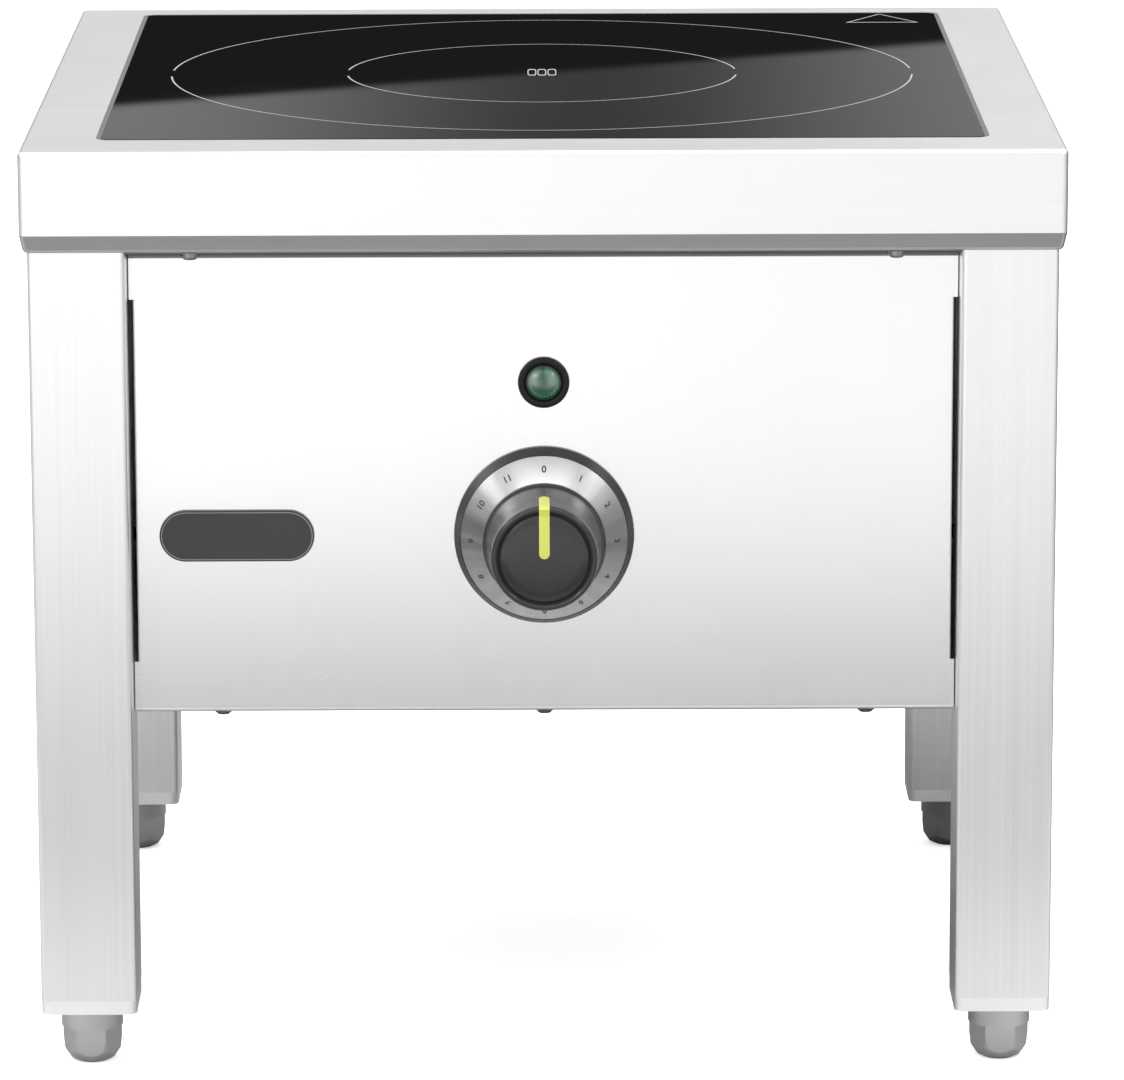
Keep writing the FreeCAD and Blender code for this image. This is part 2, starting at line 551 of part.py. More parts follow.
def ring(spot, turn, radius, bore, low, high, name="Ring", shape=rod):
    """A washer or nut along a screw, between two distances from the sheet."""
    start = back_from(spot, turn, "0 - (%s)" % low)
    blank = shape(start, radius, "%s - (%s)" % (high, low), turn, name)
    return cut(blank, [rod(back_from(start, turn, "sheet"), bore, "%s - (%s) + 2 * sheet" % (high, low),
                           turn)], name)


part(group([screw(s, t, "washer_thick") for s, t in zip(flange_spots, UPS)], "FlangeScrews"), "flange_screws")
part(group([ring(s, t, "washer_r", "screw_r + screw_gap", "0 - washer_thick", "0", "Washer")
            for s, t in zip(flange_spots, UPS)], "FlangeWashers"), "flange_washers")
part(group([screw(s, t) for s, t in zip(base_spots + side_spots + rear_spots, UPS[:3] + INS + REARS)],
           "HousingScrews"), "housing_screws")
part(group([ring(s, t, "nut_r", "screw_r + screw_gap", "2 * sheet", "2 * sheet + nut_tall", "Clinch", hexagon)
            for s, t in zip(flange_spots + base_spots + side_spots + rear_spots, UPS + UPS[:3] + INS + REARS)],
           "ClinchNuts"), "clinch_nuts")

# Dial, knob and power switch, all on one forward axis.
DIAL = ("0", FACE, "dial_z")
part(turned([("bezel_bore", "0"), ("bezel_r", "0"), ("bezel_r", "bezel_edge"), ("bezel_top_r", "bezel_tall"),
             ("bezel_bore", "bezel_tall")], DIAL, TURN_FRONT, "Bezel"), "dial_bezel")
part(turned([("bezel_bore", "bezel_tall"), ("ring_low_r", "bezel_tall"), ("ring_high_r", "ring_high"),
             ("ring_high_r - ring_wall", "ring_high"), ("ring_low_r - 2 * ring_wall", "bezel_tall + ring_wall"),
             ("bezel_bore", "bezel_tall + ring_wall")], DIAL, TURN_FRONT, "DialRing"), "dial_ring")
knob_top = value("knob_tip")
rim_wide = 2 * value("knob_face_r + knob_groove + sheet / 2")
knob_blank = turned([
    ("shaft_r", "hub_low"), ("hub_r", "hub_low"), ("hub_r", "roof_low"), ("knob_top_r - knob_wall", "roof_low"),
    ("knob_base_r - knob_wall", "knob_low"), ("knob_base_r", "knob_low"), ("knob_top_r", "knob_tip"),
    ("knob_face_r + knob_groove", "knob_tip"), ("knob_face_r + knob_groove", "knob_tip - knob_groove"),
    ("knob_face_r", "knob_tip - knob_groove"), ("knob_face_r", "knob_tip - knob_dish"),
    ("0", "knob_tip - knob_dish"), ("0", "shaft_top"), ("shaft_r", "shaft_top")], DIAL, TURN_FRONT, "KnobBlank",
    lambda e: flat_at(knob_top)(e) and e.BoundBox.XLength > rim_wide, "knob_round")


def marker(name):
    """The pointer's strip: over the face, round the rim and back along the flank."""
    owner = body(name)
    lean = "(knob_base_r - knob_top_r) * (knob_tip - mark_low) / (knob_tip - knob_low)"
    outline = [("0", "knob_tip - knob_dish + sheet / 4"),
               ("knob_top_r - knob_round", "knob_tip - knob_dish + sheet / 4"),
               ("knob_top_r + sheet / 4", "knob_tip - knob_round"),
               ("knob_top_r + sheet / 4 + " + lean, "mark_low"),
               ("knob_top_r - mark_thick + " + lean, "mark_low"),
               ("knob_top_r - mark_thick - knob_groove", "knob_tip - knob_dish - mark_thick - knob_groove"),
               ("0", "knob_tip - knob_dish - mark_thick")]
    pad(owner, polygon(sketch(owner, "YZ_Plane", name + "Outline"), outline), "mark_wide", both=True)
    return place(owner, DIAL, TURN_FRONT)


part(cut(knob_blank, [marker("MarkSeat")], "Knob"), "knob")
part(marker("Mark"), "knob_pointer")
part(rod(back_from(DIAL, TURN_FRONT, "sheet + shaft_sunk"), "shaft_r",
         "shaft_top + sheet + shaft_sunk", TURN_FRONT, "Shaft"), "switch_shaft")
case = block(("-switch_side / 2", FACE + " + sheet", "dial_z - switch_side / 2"),
             ("switch_side / 2", FACE + " + sheet + switch_deep", "dial_z + switch_side / 2"), "SwitchCase")
bushing = rod(back_from(DIAL, TURN_FRONT, "2 * sheet"), "bushing_r", "bushing_high + 2 * sheet", TURN_FRONT,
              "Bushing")
shaft_way = rod(back_from(DIAL, TURN_FRONT, "sheet + shaft_sunk + part_gap"), "shaft_r + run_gap",
                "bushing_high + switch_deep + panel_fold", TURN_FRONT, "ShaftWay")
part(cut(fuse([case, bushing], "SwitchBlank"), [shaft_way], "Switch"), "switch_body")
lock_nuts = [ring(DIAL, TURN_FRONT, "switch_nut_r", "bushing_r + run_gap", "0", "switch_nut_tall", "SwitchNut",
                  hexagon)]

# Pilot lamp.
LAMP = ("0", FACE, "lamp_z")
part(turned([("lens_r + lens_gap", "0"), ("lamp_bezel_r", "0"), ("lamp_bezel_r", "lamp_bezel_tall / 2"),
             ("lamp_bezel_r - lamp_bezel_tall / 2", "lamp_bezel_tall"),
             ("lens_r + lens_gap", "lamp_bezel_tall")],
            LAMP, TURN_FRONT, "LampBezel"), "lamp_bezel")
part(turned([("0", "0"), ("lens_r", "0"), ("lens_r", "lens_shoulder"), ("lens_crown_r", "lens_mid"),
             ("lens_crown_r / 2", "lens_tall"), ("0", "lens_tall")], LAMP, TURN_FRONT, "LampLens"), "lamp_lens")
part(rod(back_from(LAMP, TURN_FRONT, "lamp_deep"), "lamp_r", "lamp_deep", TURN_FRONT, "LampBody"), "lamp_body")
lock_nuts.append(ring(LAMP, TURN_FRONT, "lamp_nut_r", "lamp_r + run_gap", "0 - sheet - lamp_nut_tall",
                      "0 - sheet",
                      "LampNut", hexagon))

# Plain pill-shaped plate on the panel's left.
pill = slab(("-badge_x - badge_wide / 2", "0 - badge_tall / 2", "0"),
            ("badge_wide / 2 - badge_x", "badge_tall / 2",
            "badge_thick"), "badge_tall / 2 - 0.01", "Badge")
soften(pill, flat_at(value("badge_thick")), "badge_edge")
pill.Placement.Rotation = TURN_FRONT
bind(pill, "Placement.Base.x", "-badge_x - badge_wide / 2")
bind(pill, "Placement.Base.y", FACE)
bind(pill, "Placement.Base.z", "dial_z - badge_tall / 2")
part(pill, "badge")

# Coil stack under the glass, from the sheet of mica down to the support.
COIL_TOP = "tall - glass_thick - coil_top_gap"
COIL_LOW = COIL_TOP + " - coil_thick"
COIL_OUT = "((%s) - (%s) - former_over - coil_clear)" % (rail_spans["rear"][0][1], GLASS_Y)
pitch = "(%s - coil_in) / coil_turns" % COIL_OUT
turns = []
for k in range(SIZES["coil_turns"]):
    inner_r = "coil_in + %d * %s" % (k, pitch)
    turns.append(ring(("0", GLASS_Y, COIL_LOW), TURN_UP, "%s + %s * coil_fill" % (inner_r, pitch), inner_r, "0",
                      "coil_thick", "CoilTurn"))
bridge = block(("coil_in + sheet / 2", GLASS_Y + " - sheet", COIL_LOW),
               (COIL_OUT + " - sheet", GLASS_Y + " + sheet", COIL_LOW + " + coil_thick / 2"), "CoilLead")
part(fuse(turns + [bridge], "Coil"), "coil_winding")
part(ring(("0", GLASS_Y, COIL_TOP), TURN_UP, COIL_OUT + " + former_over", "former_bore", "0",
          "mica_thick", "Mica"), "mica_sheet")
part(ring(("0", GLASS_Y, COIL_LOW), TURN_UP, COIL_OUT + " + former_over", "former_bore", "0 - former_thick",
          "0",
          "Former"), "coil_former")
FERRITE_TOP = COIL_LOW + " - former_thick"
bars = []
for k in range(SIZES["ferrite_count"]):
    bar = doc.addObject("Part::Box", "FerriteBar")
    bind(bar, "Length", COIL_OUT + " - ferrite_start - ferrite_in")
    bind(bar, "Width", "ferrite_wide")
    bind(bar, "Height", "ferrite_thick")
    angle = 360.0 * k / SIZES["ferrite_count"]
    turn = FreeCAD.Rotation(FreeCAD.Vector(0, 0, 1), angle)
    across = "(%.9f)" % math.cos(math.radians(angle)), "(%.9f)" % math.sin(math.radians(angle))
    place(bar, ("ferrite_start * %s + ferrite_wide / 2 * %s" % across,
                GLASS_Y + " + ferrite_start * %s - ferrite_wide / 2 * %s" % (across[1], across[0]),
                FERRITE_TOP + " - ferrite_thick"), turn)
    bars.append(bar)
part(group(bars, "Ferrites"), "ferrite_bars")
SUPPORT_TOP = FERRITE_TOP + " - ferrite_thick"
disc = rod(("0", GLASS_Y, SUPPORT_TOP + " - support_thick"), COIL_OUT, "support_thick", name="SupportDisc")
arm = block(("-(%s)" % LEG_IN, GLASS_Y + " - support_arm / 2", SUPPORT_TOP + " - support_thick"),
            (LEG_IN, GLASS_Y + " + support_arm / 2", SUPPORT_TOP), "SupportArm")
clips = []
for sign in sides.values():
    x0, x1 = mirrored(sign, LEG_IN + " - support_thick", LEG_IN)
    clips.append(block((x0, GLASS_Y + " - support_arm / 2", SUPPORT_TOP + " - support_thick"),
                       (x1, GLASS_Y + " + support_arm / 2", SUPPORT_TOP + " + clip_up"), "SupportClip"))
hub = rod(("0", GLASS_Y, SUPPORT_TOP + " - 2 * support_thick"), "sensor_stem_r + run_gap", "4 * support_thick",
          name="SupportHub")
part(cut(fuse([disc, arm] + clips, "SupportBlank"), [hub], "Support"), "coil_support")
stem = rod(("0", GLASS_Y, SUPPORT_TOP + " - 4 * support_thick"), "sensor_stem_r",
           "tall - glass_thick - (%s) + 4 * support_thick - sensor_head" % SUPPORT_TOP, name="SensorStem")
button = rod(("0", GLASS_Y, "tall - glass_thick - sensor_head"), "sensor_r", "sensor_head", name="SensorHead")
part(fuse([stem, button], "Sensor"), "temperature_sensor")

# Cooling fan standing on the base, over its inlet.
FAN = ("fan_x", FAN_Y, BASE_TOP)
fan_box = slab(("fan_x - fan_side / 2", FAN_Y + " - fan_side / 2", BASE_TOP),
               ("fan_x + fan_side / 2", FAN_Y + " + fan_side / 2", BASE_TOP + " + fan_deep"), "tray_corner",
               "FanBox")
duct = rod(("fan_x", FAN_Y, "panel_low"), "fan_bore", "fan_deep * 2", name="FanDuct")
struts = [block(("fan_x - fan_bore - sheet", FAN_Y + " - fan_strut / 2", BASE_TOP),
                ("fan_x + fan_bore + sheet", FAN_Y + " + fan_strut / 2", BASE_TOP + " + strut_thick"),
                "FanStrut"),
          block(("fan_x - fan_strut / 2", FAN_Y + " - fan_bore - sheet", BASE_TOP),
                ("fan_x + fan_strut / 2", FAN_Y + " + fan_bore + sheet", BASE_TOP + " + strut_thick"),
                "FanStrut"),
          rod(FAN, "rotor_hub", "strut_thick * 2", name="FanSeat"),
          rod(FAN, "fan_post", "rotor_lift + rotor_tall - cap_thick - part_gap", name="FanPost")]
part(fuse([cut(fan_box, [duct], "FanShell")] + struts, "FanFrame"), "fan_frame")
blades = []
for k in range(SIZES["blade_count"]):
    blade = doc.addObject("Part::Box", "Blade")
    bind(blade, "Length", "rotor_r - rotor_hub + sheet")
    bind(blade, "Width", "blade_wide")
    bind(blade, "Height", "blade_thick")
    spin = FreeCAD.Rotation(FreeCAD.Vector(0, 0, 1), 360.0 * k / SIZES["blade_count"])
    tilt = FreeCAD.Rotation(FreeCAD.Vector(1, 0, 0), SIZES["blade_tilt"])
    turn = spin.multiply(tilt)
    start = turn.multVec(FreeCAD.Vector(1, 0, 0))
    side = turn.multVec(FreeCAD.Vector(0, 1, 0))
    rise = turn.multVec(FreeCAD.Vector(0, 0, 1))
    spot = ["%s + (%.9f) * (rotor_hub - sheet) - (%.9f) * blade_wide / 2 - (%.9f) * blade_thick / 2"
            % (at, a, b, c) for at, a, b, c in
            zip(("fan_x", FAN_Y, BASE_TOP + " + rotor_lift + rotor_tall / 2"), start, side, rise)]
    blades.append(place(blade, spot, turn))
rotor_low = BASE_TOP + " + rotor_lift"
cup = rod(("fan_x", FAN_Y, rotor_low), "rotor_hub", "rotor_tall", name="RotorHub")
swept = doc.addObject("Part::MultiCommon", "BladesSwept")
swept.Shapes = [fuse([cup] + blades, "RotorBlank"), rod(("fan_x", FAN_Y, rotor_low), "rotor_r", "rotor_tall",
                name="RotorSweep")]
rotor_way = rod(("fan_x", FAN_Y, rotor_low + " - sheet"), "fan_post + run_gap",
                "rotor_tall - cap_thick + sheet",
                name="RotorBore")
part(cut(swept, [rotor_way], "Rotor"), "fan_rotor")
grid = [ring(("fan_x", FAN_Y, "panel_low"), TURN_UP, "guard_start + %d * guard_start + guard_bar" % k,
             "guard_start + %d * guard_start" % k, "sheet - guard_thick", "sheet", "GuardRing")
        for k in range(SIZES["guard_rings"])]
spokes = [block(("fan_x - fan_bore - guard_over", FAN_Y + " - guard_bar", "panel_low + sheet - guard_thick"),
                ("fan_x + fan_bore + guard_over", FAN_Y + " + guard_bar", "panel_low + sheet"), "GuardSpoke"),
          block(("fan_x - guard_bar", FAN_Y + " - fan_bore - guard_over", "panel_low + sheet - guard_thick"),
                ("fan_x + guard_bar", FAN_Y + " + fan_bore + guard_over", "panel_low + sheet"), "GuardSpoke")]
part(fuse(grid + spokes, "Guard"), "fan_guard")

# Generator board on standoffs, with heat sink, capacitors and mains terminals.
BOARD = ("board_x", FRONT + " + deep / 2 + board_y", BASE_TOP + " + board_up")
BOARD_DEEP = "(deep - board_margin)"
board_low = ("board_x - board_wide / 2", BOARD[1] + " - %s / 2" % BOARD_DEEP, BOARD[2])
board_high = ("board_x + board_wide / 2", BOARD[1] + " + %s / 2" % BOARD_DEEP, BOARD[2] + " + board_thick")
part(block(board_low, board_high, "Board"), "generator_board")
part(group([rod(("board_x + %s * (board_wide / 2 - standoff_in)" % a,
                 BOARD[1] + " + %s * (%s / 2 - standoff_in)" % (b, BOARD_DEEP), BASE_TOP), "standoff_r",
                 "board_up",
                name="Standoff") for a in ("-1", "1") for b in ("-1", "1")], "Standoffs"), "board_standoffs")
SINK_X = "board_x - board_wide / 2 + standoff_in"
sink_z = BOARD[2] + " + board_thick"
fins = [block((SINK_X, BOARD[1] + " - sink_deep / 2", sink_z),
              (SINK_X + " + sink_wide", BOARD[1] + " + sink_deep / 2", sink_z + " + sink_base"), "SinkBase")]
for k in range(SIZES["fin_count"]):
    x = SINK_X + " + %d * (sink_wide - fin_thick) / (fin_count - 1)" % k
    fins.append(block((x, BOARD[1] + " - sink_deep / 2", sink_z + " + sink_base / 2"),
                      (x + " + fin_thick", BOARD[1] + " + sink_deep / 2", sink_z + " + sink_tall"), "Fin"))
part(fuse(fins, "HeatSink"), "heat_sink")
part(group([rod(("board_x + board_wide / 2 - cap_in", BOARD[1] + " + %s * cap_pitch" % k, sink_z), "cap_r",
                "cap_tall", name="Capacitor") for k in ("-1.5", "-0.5", "0.5", "1.5")], "Capacitors"),
     "power_capacitors")
BLOCK_Y = REAR + " - block_back"
strip = block(("block_x - block_wide / 2", BLOCK_Y, BASE_TOP),
              ("block_x + block_wide / 2", BLOCK_Y + " + block_deep", BASE_TOP + " + block_tall / 2"),
              "TerminalBase")
ridge = block(("block_x - block_wide / 2", BLOCK_Y + " + block_deep / 4", BASE_TOP),
              ("block_x + block_wide / 2", BLOCK_Y + " + block_deep * 3 / 4", BASE_TOP + " + block_tall"),
              "TerminalRidge")
ways = [rod(("block_x + %s * block_wide / 4" % k, BLOCK_Y + " + block_deep / 2",
             BASE_TOP + " + block_tall / 2"),
            "block_way_r", "block_tall", name="TerminalWay") for k in ("-1.5", "-0.5", "0.5", "1.5")]
part(cut(fuse([strip, ridge], "TerminalBlank"), ways, "Terminals"), "terminal_block")

# Cable gland and bonding stud on the rear panel.
GLAND = ("gland_x", REAR_Y, "gland_z")
gland_blank = fuse([rod(back_from(GLAND, TURN_REAR, "gland_in + sheet"), "gland_r", "gland_in + gland_out",
                        TURN_REAR),
                    hexagon(GLAND, "gland_hex", "gland_hex_thick", TURN_REAR),
                    rod(back_from(GLAND, TURN_REAR, "0 - gland_hex_thick"), "gland_cap",
                        "gland_out - gland_hex_thick",
                        TURN_REAR)], "GlandBlank")
part(cut(gland_blank, [rod(back_from(GLAND, TURN_REAR, "gland_in * 2"), "gland_bore", "gland_out * 3",
                           TURN_REAR)],
         "Gland"), "cable_gland")
lock_nuts.append(ring(GLAND, TURN_REAR, "gland_hex", "gland_r + run_gap", "0 - sheet - gland_nut_thick",
                      "0 - sheet", "GlandNut", hexagon))
part(group(lock_nuts, "LockNuts"), "lock_nuts")
BOND = ("bond_x", REAR_Y, "bond_z")
part(rod(back_from(BOND, TURN_REAR, "bond_in + sheet"), "bond_r", "bond_in + bond_out + sheet", TURN_REAR,
         "BondStud"),
     "bonding_stud")
part(group([ring(BOND, TURN_REAR, "bond_nut_r", "bond_r + run_gap", low, high, "BondNut", hexagon)
            for low, high in (("0", "bond_nut_tall"), ("0 - sheet - bond_nut_tall", "0 - sheet"))], "BondNuts"),
     "bonding_nuts")

doc.recompute()
for item in doc.Objects:
    if {"Invalid", "Error"} & set(item.State):
        raise RuntimeError("%s (%s) did not compute" % (item.Name, item.Label))
for item in parts:
    if item.Shape.isNull() or not item.Shape.isValid() or not item.Shape.Solids:
        raise RuntimeError("%s has no valid solid" % item.Label)

os.makedirs("parts", exist_ok=True)
for item in parts:
    item.Shape.exportStep("parts/%s.step" % item.Label)
    print("%-26s %2d solid(s) %10.1f mm3" % (item.Label, len(item.Shape.Solids), item.Shape.Volume))
print(len(parts), "sub-parts")
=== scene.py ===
# %% [markdown]
# # A floor-standing induction hob
# The hob is a steel stool with a black glass top and a boxed generator between its legs. Its
# measured parts come ready made from the frame. This lesson adds what a drawing leaves out:
# how each metal is brushed, how the glass is printed, the figures on the dial and the light
# that they are seen in. The frame's plain materials are cleared, to make room for real ones.

# %% Load the measured parts
import json
import math

import bmesh
import bpy
from mathutils import Matrix, Vector


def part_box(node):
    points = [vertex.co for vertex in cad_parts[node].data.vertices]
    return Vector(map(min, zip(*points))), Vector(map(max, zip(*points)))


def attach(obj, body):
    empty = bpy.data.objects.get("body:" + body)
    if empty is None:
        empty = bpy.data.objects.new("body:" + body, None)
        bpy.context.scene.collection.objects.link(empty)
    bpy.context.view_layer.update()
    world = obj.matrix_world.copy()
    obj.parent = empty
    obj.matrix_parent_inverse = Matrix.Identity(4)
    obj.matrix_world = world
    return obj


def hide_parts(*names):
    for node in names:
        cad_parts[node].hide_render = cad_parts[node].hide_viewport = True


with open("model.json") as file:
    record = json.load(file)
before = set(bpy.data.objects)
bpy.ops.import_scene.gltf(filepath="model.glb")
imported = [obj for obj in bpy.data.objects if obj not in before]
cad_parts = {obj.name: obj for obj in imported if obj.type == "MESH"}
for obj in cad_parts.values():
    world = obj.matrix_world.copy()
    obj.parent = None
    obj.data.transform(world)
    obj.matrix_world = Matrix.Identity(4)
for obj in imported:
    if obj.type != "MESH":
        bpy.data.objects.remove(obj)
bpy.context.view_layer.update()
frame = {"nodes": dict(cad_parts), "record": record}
nodes = frame["nodes"]
for plain in list(bpy.data.materials):
    bpy.data.materials.remove(plain)

# %% [markdown]
# ## Places
# Prints, figures and labels lie on parts of the hob. Their positions could be typed in, but
# then they would float when a part is remade. So each is read from the box of the part that
# it lies on. `middle` gives the centre of a part's box.


# %% Places worked out from the parts
def middle(node):
    low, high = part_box(node)
    return (low + high) / 2


MM = 0.001
dial = middle("dial_bezel")
panel_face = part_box("dial_bezel")[1].y
print("dial centre:", dial, "panel face:", round(panel_face, 4))

# %% [markdown]
# ## A small language for materials
# A material is a graph of nodes. Writing `1 - mask` is easier to read than adding a Math node
# and joining its sockets, so `Line` wraps one socket and its operators add the Math nodes.
# `Paint` is one material: `node` adds any other node from its type, its settings and the
# values or lines of its sockets. Where several sockets share a name, a number picks one.


# %% Line: a value on its way through a material
class Line:
    def __init__(self, paint, socket):
        self.paint = paint
        self.socket = socket

    def __add__(self, other):
        return self.paint.sum("ADD", self, other)

    __radd__ = __add__

    def __sub__(self, other):
        return self.paint.sum("SUBTRACT", self, other)

    def __rsub__(self, other):
        return self.paint.sum("SUBTRACT", other, self)

    def __mul__(self, other):
        return self.paint.sum("MULTIPLY", self, other)

    __rmul__ = __mul__

    def __truediv__(self, other):
        return self.paint.sum("DIVIDE", self, other)

    def __pow__(self, other):
        return self.paint.sum("POWER", self, other)

    def __gt__(self, other):
        return self.paint.sum("GREATER_THAN", self, other)

    def __lt__(self, other):
        return self.paint.sum("LESS_THAN", self, other)

    def __abs__(self):
        return self.paint.sum("ABSOLUTE", self)


# %% Paint: one material and the nodes in it
COORD_GENERATED, COORD_NORMAL, COORD_OBJECT = 0, 1, 3
MIX_SHARE, MIX_FIRST, MIX_SECOND, MIX_COLOUR = 0, 6, 7, 2


class Paint:
    def __init__(self, name, tree=None):
        self.material = None
        if tree is None:
            self.material = bpy.data.materials.new(name)
            self.material.use_nodes = True
            tree = self.material.node_tree
        self.tree = tree
        self.shader = tree.nodes.get("Principled BSDF")

    def node(self, kind, settings=None, sockets=None, out=0):
        made = self.tree.nodes.new("ShaderNode" + kind)
        for key, setting in (settings or {}).items():
            setattr(made, key, setting)
        for key, given in (sockets or {}).items():
            self.join(given, made.inputs[key])
        return Line(self, made.outputs[out])

    def join(self, given, socket):
        if isinstance(given, Line):
            self.tree.links.new(given.socket, socket)
        else:
            socket.default_value = given

    def sum(self, how, *terms):
        return self.node("Math", {"operation": how}, dict(enumerate(terms)))

    def soft_step(self, value, low, high):
        return self.node("MapRange", {"interpolation_type": "SMOOTHSTEP"},
                         {"Value": value, "From Min": low, "From Max": high})

    def place(self):
        return self.node("TexCoord", out=COORD_OBJECT)

    def facing(self):
        return self.parts_of(self.node("TexCoord", out=COORD_NORMAL))

    def parts_of(self, vector):
        split = self.node("SeparateXYZ", sockets={0: vector})
        return [Line(self, output) for output in split.socket.node.outputs]

    def stretched(self, scales):
        return self.node("VectorMath", {"operation": "MULTIPLY"}, {0: self.place(), 1: scales})

    def noise(self, scales, detail=2.0, rough=0.5):
        return self.node("TexNoise", sockets={"Vector": self.stretched(scales), "Scale": 1.0,
                                              "Detail": detail, "Roughness": rough})

    def noise_along(self, run, scale, detail):
        return self.node("TexNoise", {"noise_dimensions": "1D"},
                         {"W": run, "Scale": scale, "Detail": detail})

    def mix(self, share, first, second):
        return self.node("Mix", {"data_type": "RGBA"},
                         {MIX_SHARE: share, MIX_FIRST: first, MIX_SECOND: second}, MIX_COLOUR)

    def tinted(self, colour, amount):
        """A colour made lighter or darker by an amount around 1."""
        return self.node("VectorMath", {"operation": "SCALE"}, {0: colour, "Scale": amount})

    def bump(self, height, depth, strength=1.0):
        return self.node("Bump", sockets={"Height": height, "Distance": depth, "Strength": strength})

    def finish(self, **values):
        for key, given in values.items():
            self.join(given, self.shader.inputs[key.replace("_", " ")])
        return self.material


# %% Colours and noise
def rgb(red, green, blue):
    return (red, green, blue, 1.0)


def grey(level):
    return (level, level, level)


def even(scale):
    """The same scale for noise in all three directions."""
    return (scale, scale, scale)


def drift(noise, amount):
    """Noise runs from 0 to 1, so this wanders by half an amount to either side of 0."""
    return amount * (noise - 0.5)


print("a finer noise has a larger scale:", even(9.0), even(1800.0))

# %% [markdown]
# ## Satin steel
# Catering steel is brushed: fine parallel scratches run one way along the sheet and scatter
# light across themselves, so the surface has a soft streaky sheen. A picture of brushed steel
# would blur close up. Noise does not: it is squeezed to a fraction of a millimetre across the
# grain and drawn out along it. On the sides of a folded tray the same grain turns the corner,
# so there it runs downwards, which the way that a face looks decides. Only the finest noise
# also bumps the surface, because a deeper or coarser bump would look like wood.
#
# Two tones of painted shade darken the steel, where no lamp shades it. Faces that look downwards,
# the leaning lip of the tray and the return flange under it, are painted darker as shade. The
# panel is painted darker above a level, as the shadow under the tray's lip where it meets it.

# %% Brushed steel
GRAIN_ACROSS = 1400.0
GRAIN_ALONG = 3.0
BAND_ACROSS = 520.0
BAND_ALONG = 1.5
CLOUD_SCALE = 9.0
WIPE_SCALE = 26.0
SIDE_FACING = 0.7
LIP_FACING, LIP_SHADE = -0.1, 0.42
FLANGE_FACING, FLANGE_SHADE = -0.9, 0.4
SHADE_SOFT = 0.6 * MM
SHADE_DARKER = 0.86
BAND_ROUGHER = 0.05
BLUE_TINT = 1.005
GRAIN_DEPTH, GRAIN_STRENGTH = 0.000004, 0.4


def grain_scales(along, across=GRAIN_ACROSS, length=GRAIN_ALONG):
    return tuple(length if axis == along else across for axis in "xyz")


def satin_steel(name, tone, rough, along="x", streak=0.10, marks=0.08, folds=False,
                shade_below=False, shade_above=None):
    paint = Paint(name)
    fine = paint.noise(grain_scales(along))
    band = paint.noise(grain_scales(along, BAND_ACROSS, BAND_ALONG), detail=3.0)
    if folds:
        sideways = abs(paint.facing()[0]) > SIDE_FACING
        fine_down = paint.noise(grain_scales("z"))
        band_down = paint.noise(grain_scales("z", BAND_ACROSS, BAND_ALONG), detail=3.0)
        fine = sideways * fine_down + (1 - sideways) * fine
        band = sideways * band_down + (1 - sideways) * band
    cloud = paint.noise(even(CLOUD_SCALE), detail=3.0)
    wiped = paint.noise(even(WIPE_SCALE), detail=4.0, rough=0.6)
    amount = 1 + drift(fine, streak) + drift(band, streak) + drift(cloud, marks / 2)
    # Faces that look downwards are painted darker: painted shade under the tray's top.
    if shade_below:
        rise = paint.facing()[2]
        amount = amount * (1 - LIP_SHADE * (rise < LIP_FACING) - FLANGE_SHADE * (rise < FLANGE_FACING))
    # The panel is painted darker above a level: a painted shadow under the tray's lip.
    if shade_above:
        height = paint.parts_of(paint.place())[2]
        lip_shadow = paint.soft_step(height, shade_above - SHADE_SOFT, shade_above)
        amount = amount * (1 - SHADE_DARKER * lip_shadow)
    spread = rough + drift(band, BAND_ROUGHER) + drift(wiped, marks) + drift(cloud, marks / 2)
    return paint.finish(Base_Color=paint.tinted((tone, tone, tone * BLUE_TINT), amount), Metallic=1.0,
                        Roughness=spread, Normal=paint.bump(fine, GRAIN_DEPTH, GRAIN_STRENGTH))


# %% The four steels
# How far below the tray the painted shadow on the top of the panel begins.
SHADE_BELOW_TRAY = 5.4 * MM
shade_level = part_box("top_tray")[0].z - SHADE_BELOW_TRAY
satin_steel("tray_steel", tone=0.84, rough=0.33, streak=0.04, marks=0.03, folds=True, shade_below=True)
satin_steel("leg_steel", tone=0.85, rough=0.34, along="z", marks=0.05)
satin_steel("panel_steel", tone=0.86, rough=0.26, streak=0.03, marks=0.03, folds=True,
            shade_above=shade_level)
satin_steel("rail_steel", tone=0.78, rough=0.34)
print("steels made, painted shade above", round(shade_level, 4))

# %% [markdown]
# ## Plain metals
# Screws, plugs and feet are turned or cast, not brushed. Turning leaves rings round the axis;
# casting leaves a faint orange-peel. Each could have its own function, but only the numbers
# differ. So one function covers both: the scales say which way the marks run, and the tone
# and roughness say which metal it is.

# %% Turned and cast metal
HANDLING_SCALE = 60.0
HANDLED_ROUGHER, MARKED_ROUGHER = 0.15, 0.1
MARK_STRENGTH = 0.5
METALS = {
    "plug_metal": dict(colour=(0.93, 0.93, 0.92), rough=0.40, scales=(700.0, 700.0, 900.0), depth=0.00003),
    "foot_metal": dict(colour=(0.50, 0.50, 0.49), rough=0.12, scales=(40.0, 40.0, 2600.0), depth=0.000004),
    "zinc_steel": dict(colour=(0.70, 0.70, 0.66), rough=0.22, scales=(30.0, 30.0, 4000.0), depth=0.00008),
    # Screw steel is painted far darker than bare steel, as painted shade for the screw heads in the shadow
    # under the tray's lip.
    "screw_steel": dict(colour=grey(0.20), rough=0.16),
    "bare_aluminium": dict(colour=(0.78, 0.78, 0.79), rough=0.38, scales=(12.0, 900.0, 900.0)),
    "guard_wire": dict(colour=grey(0.66), rough=0.3),
    "copper_litz": dict(colour=(0.75, 0.33, 0.17), rough=0.34, scales=even(2600.0), depth=0.00006,
                        spots=0.4),
}


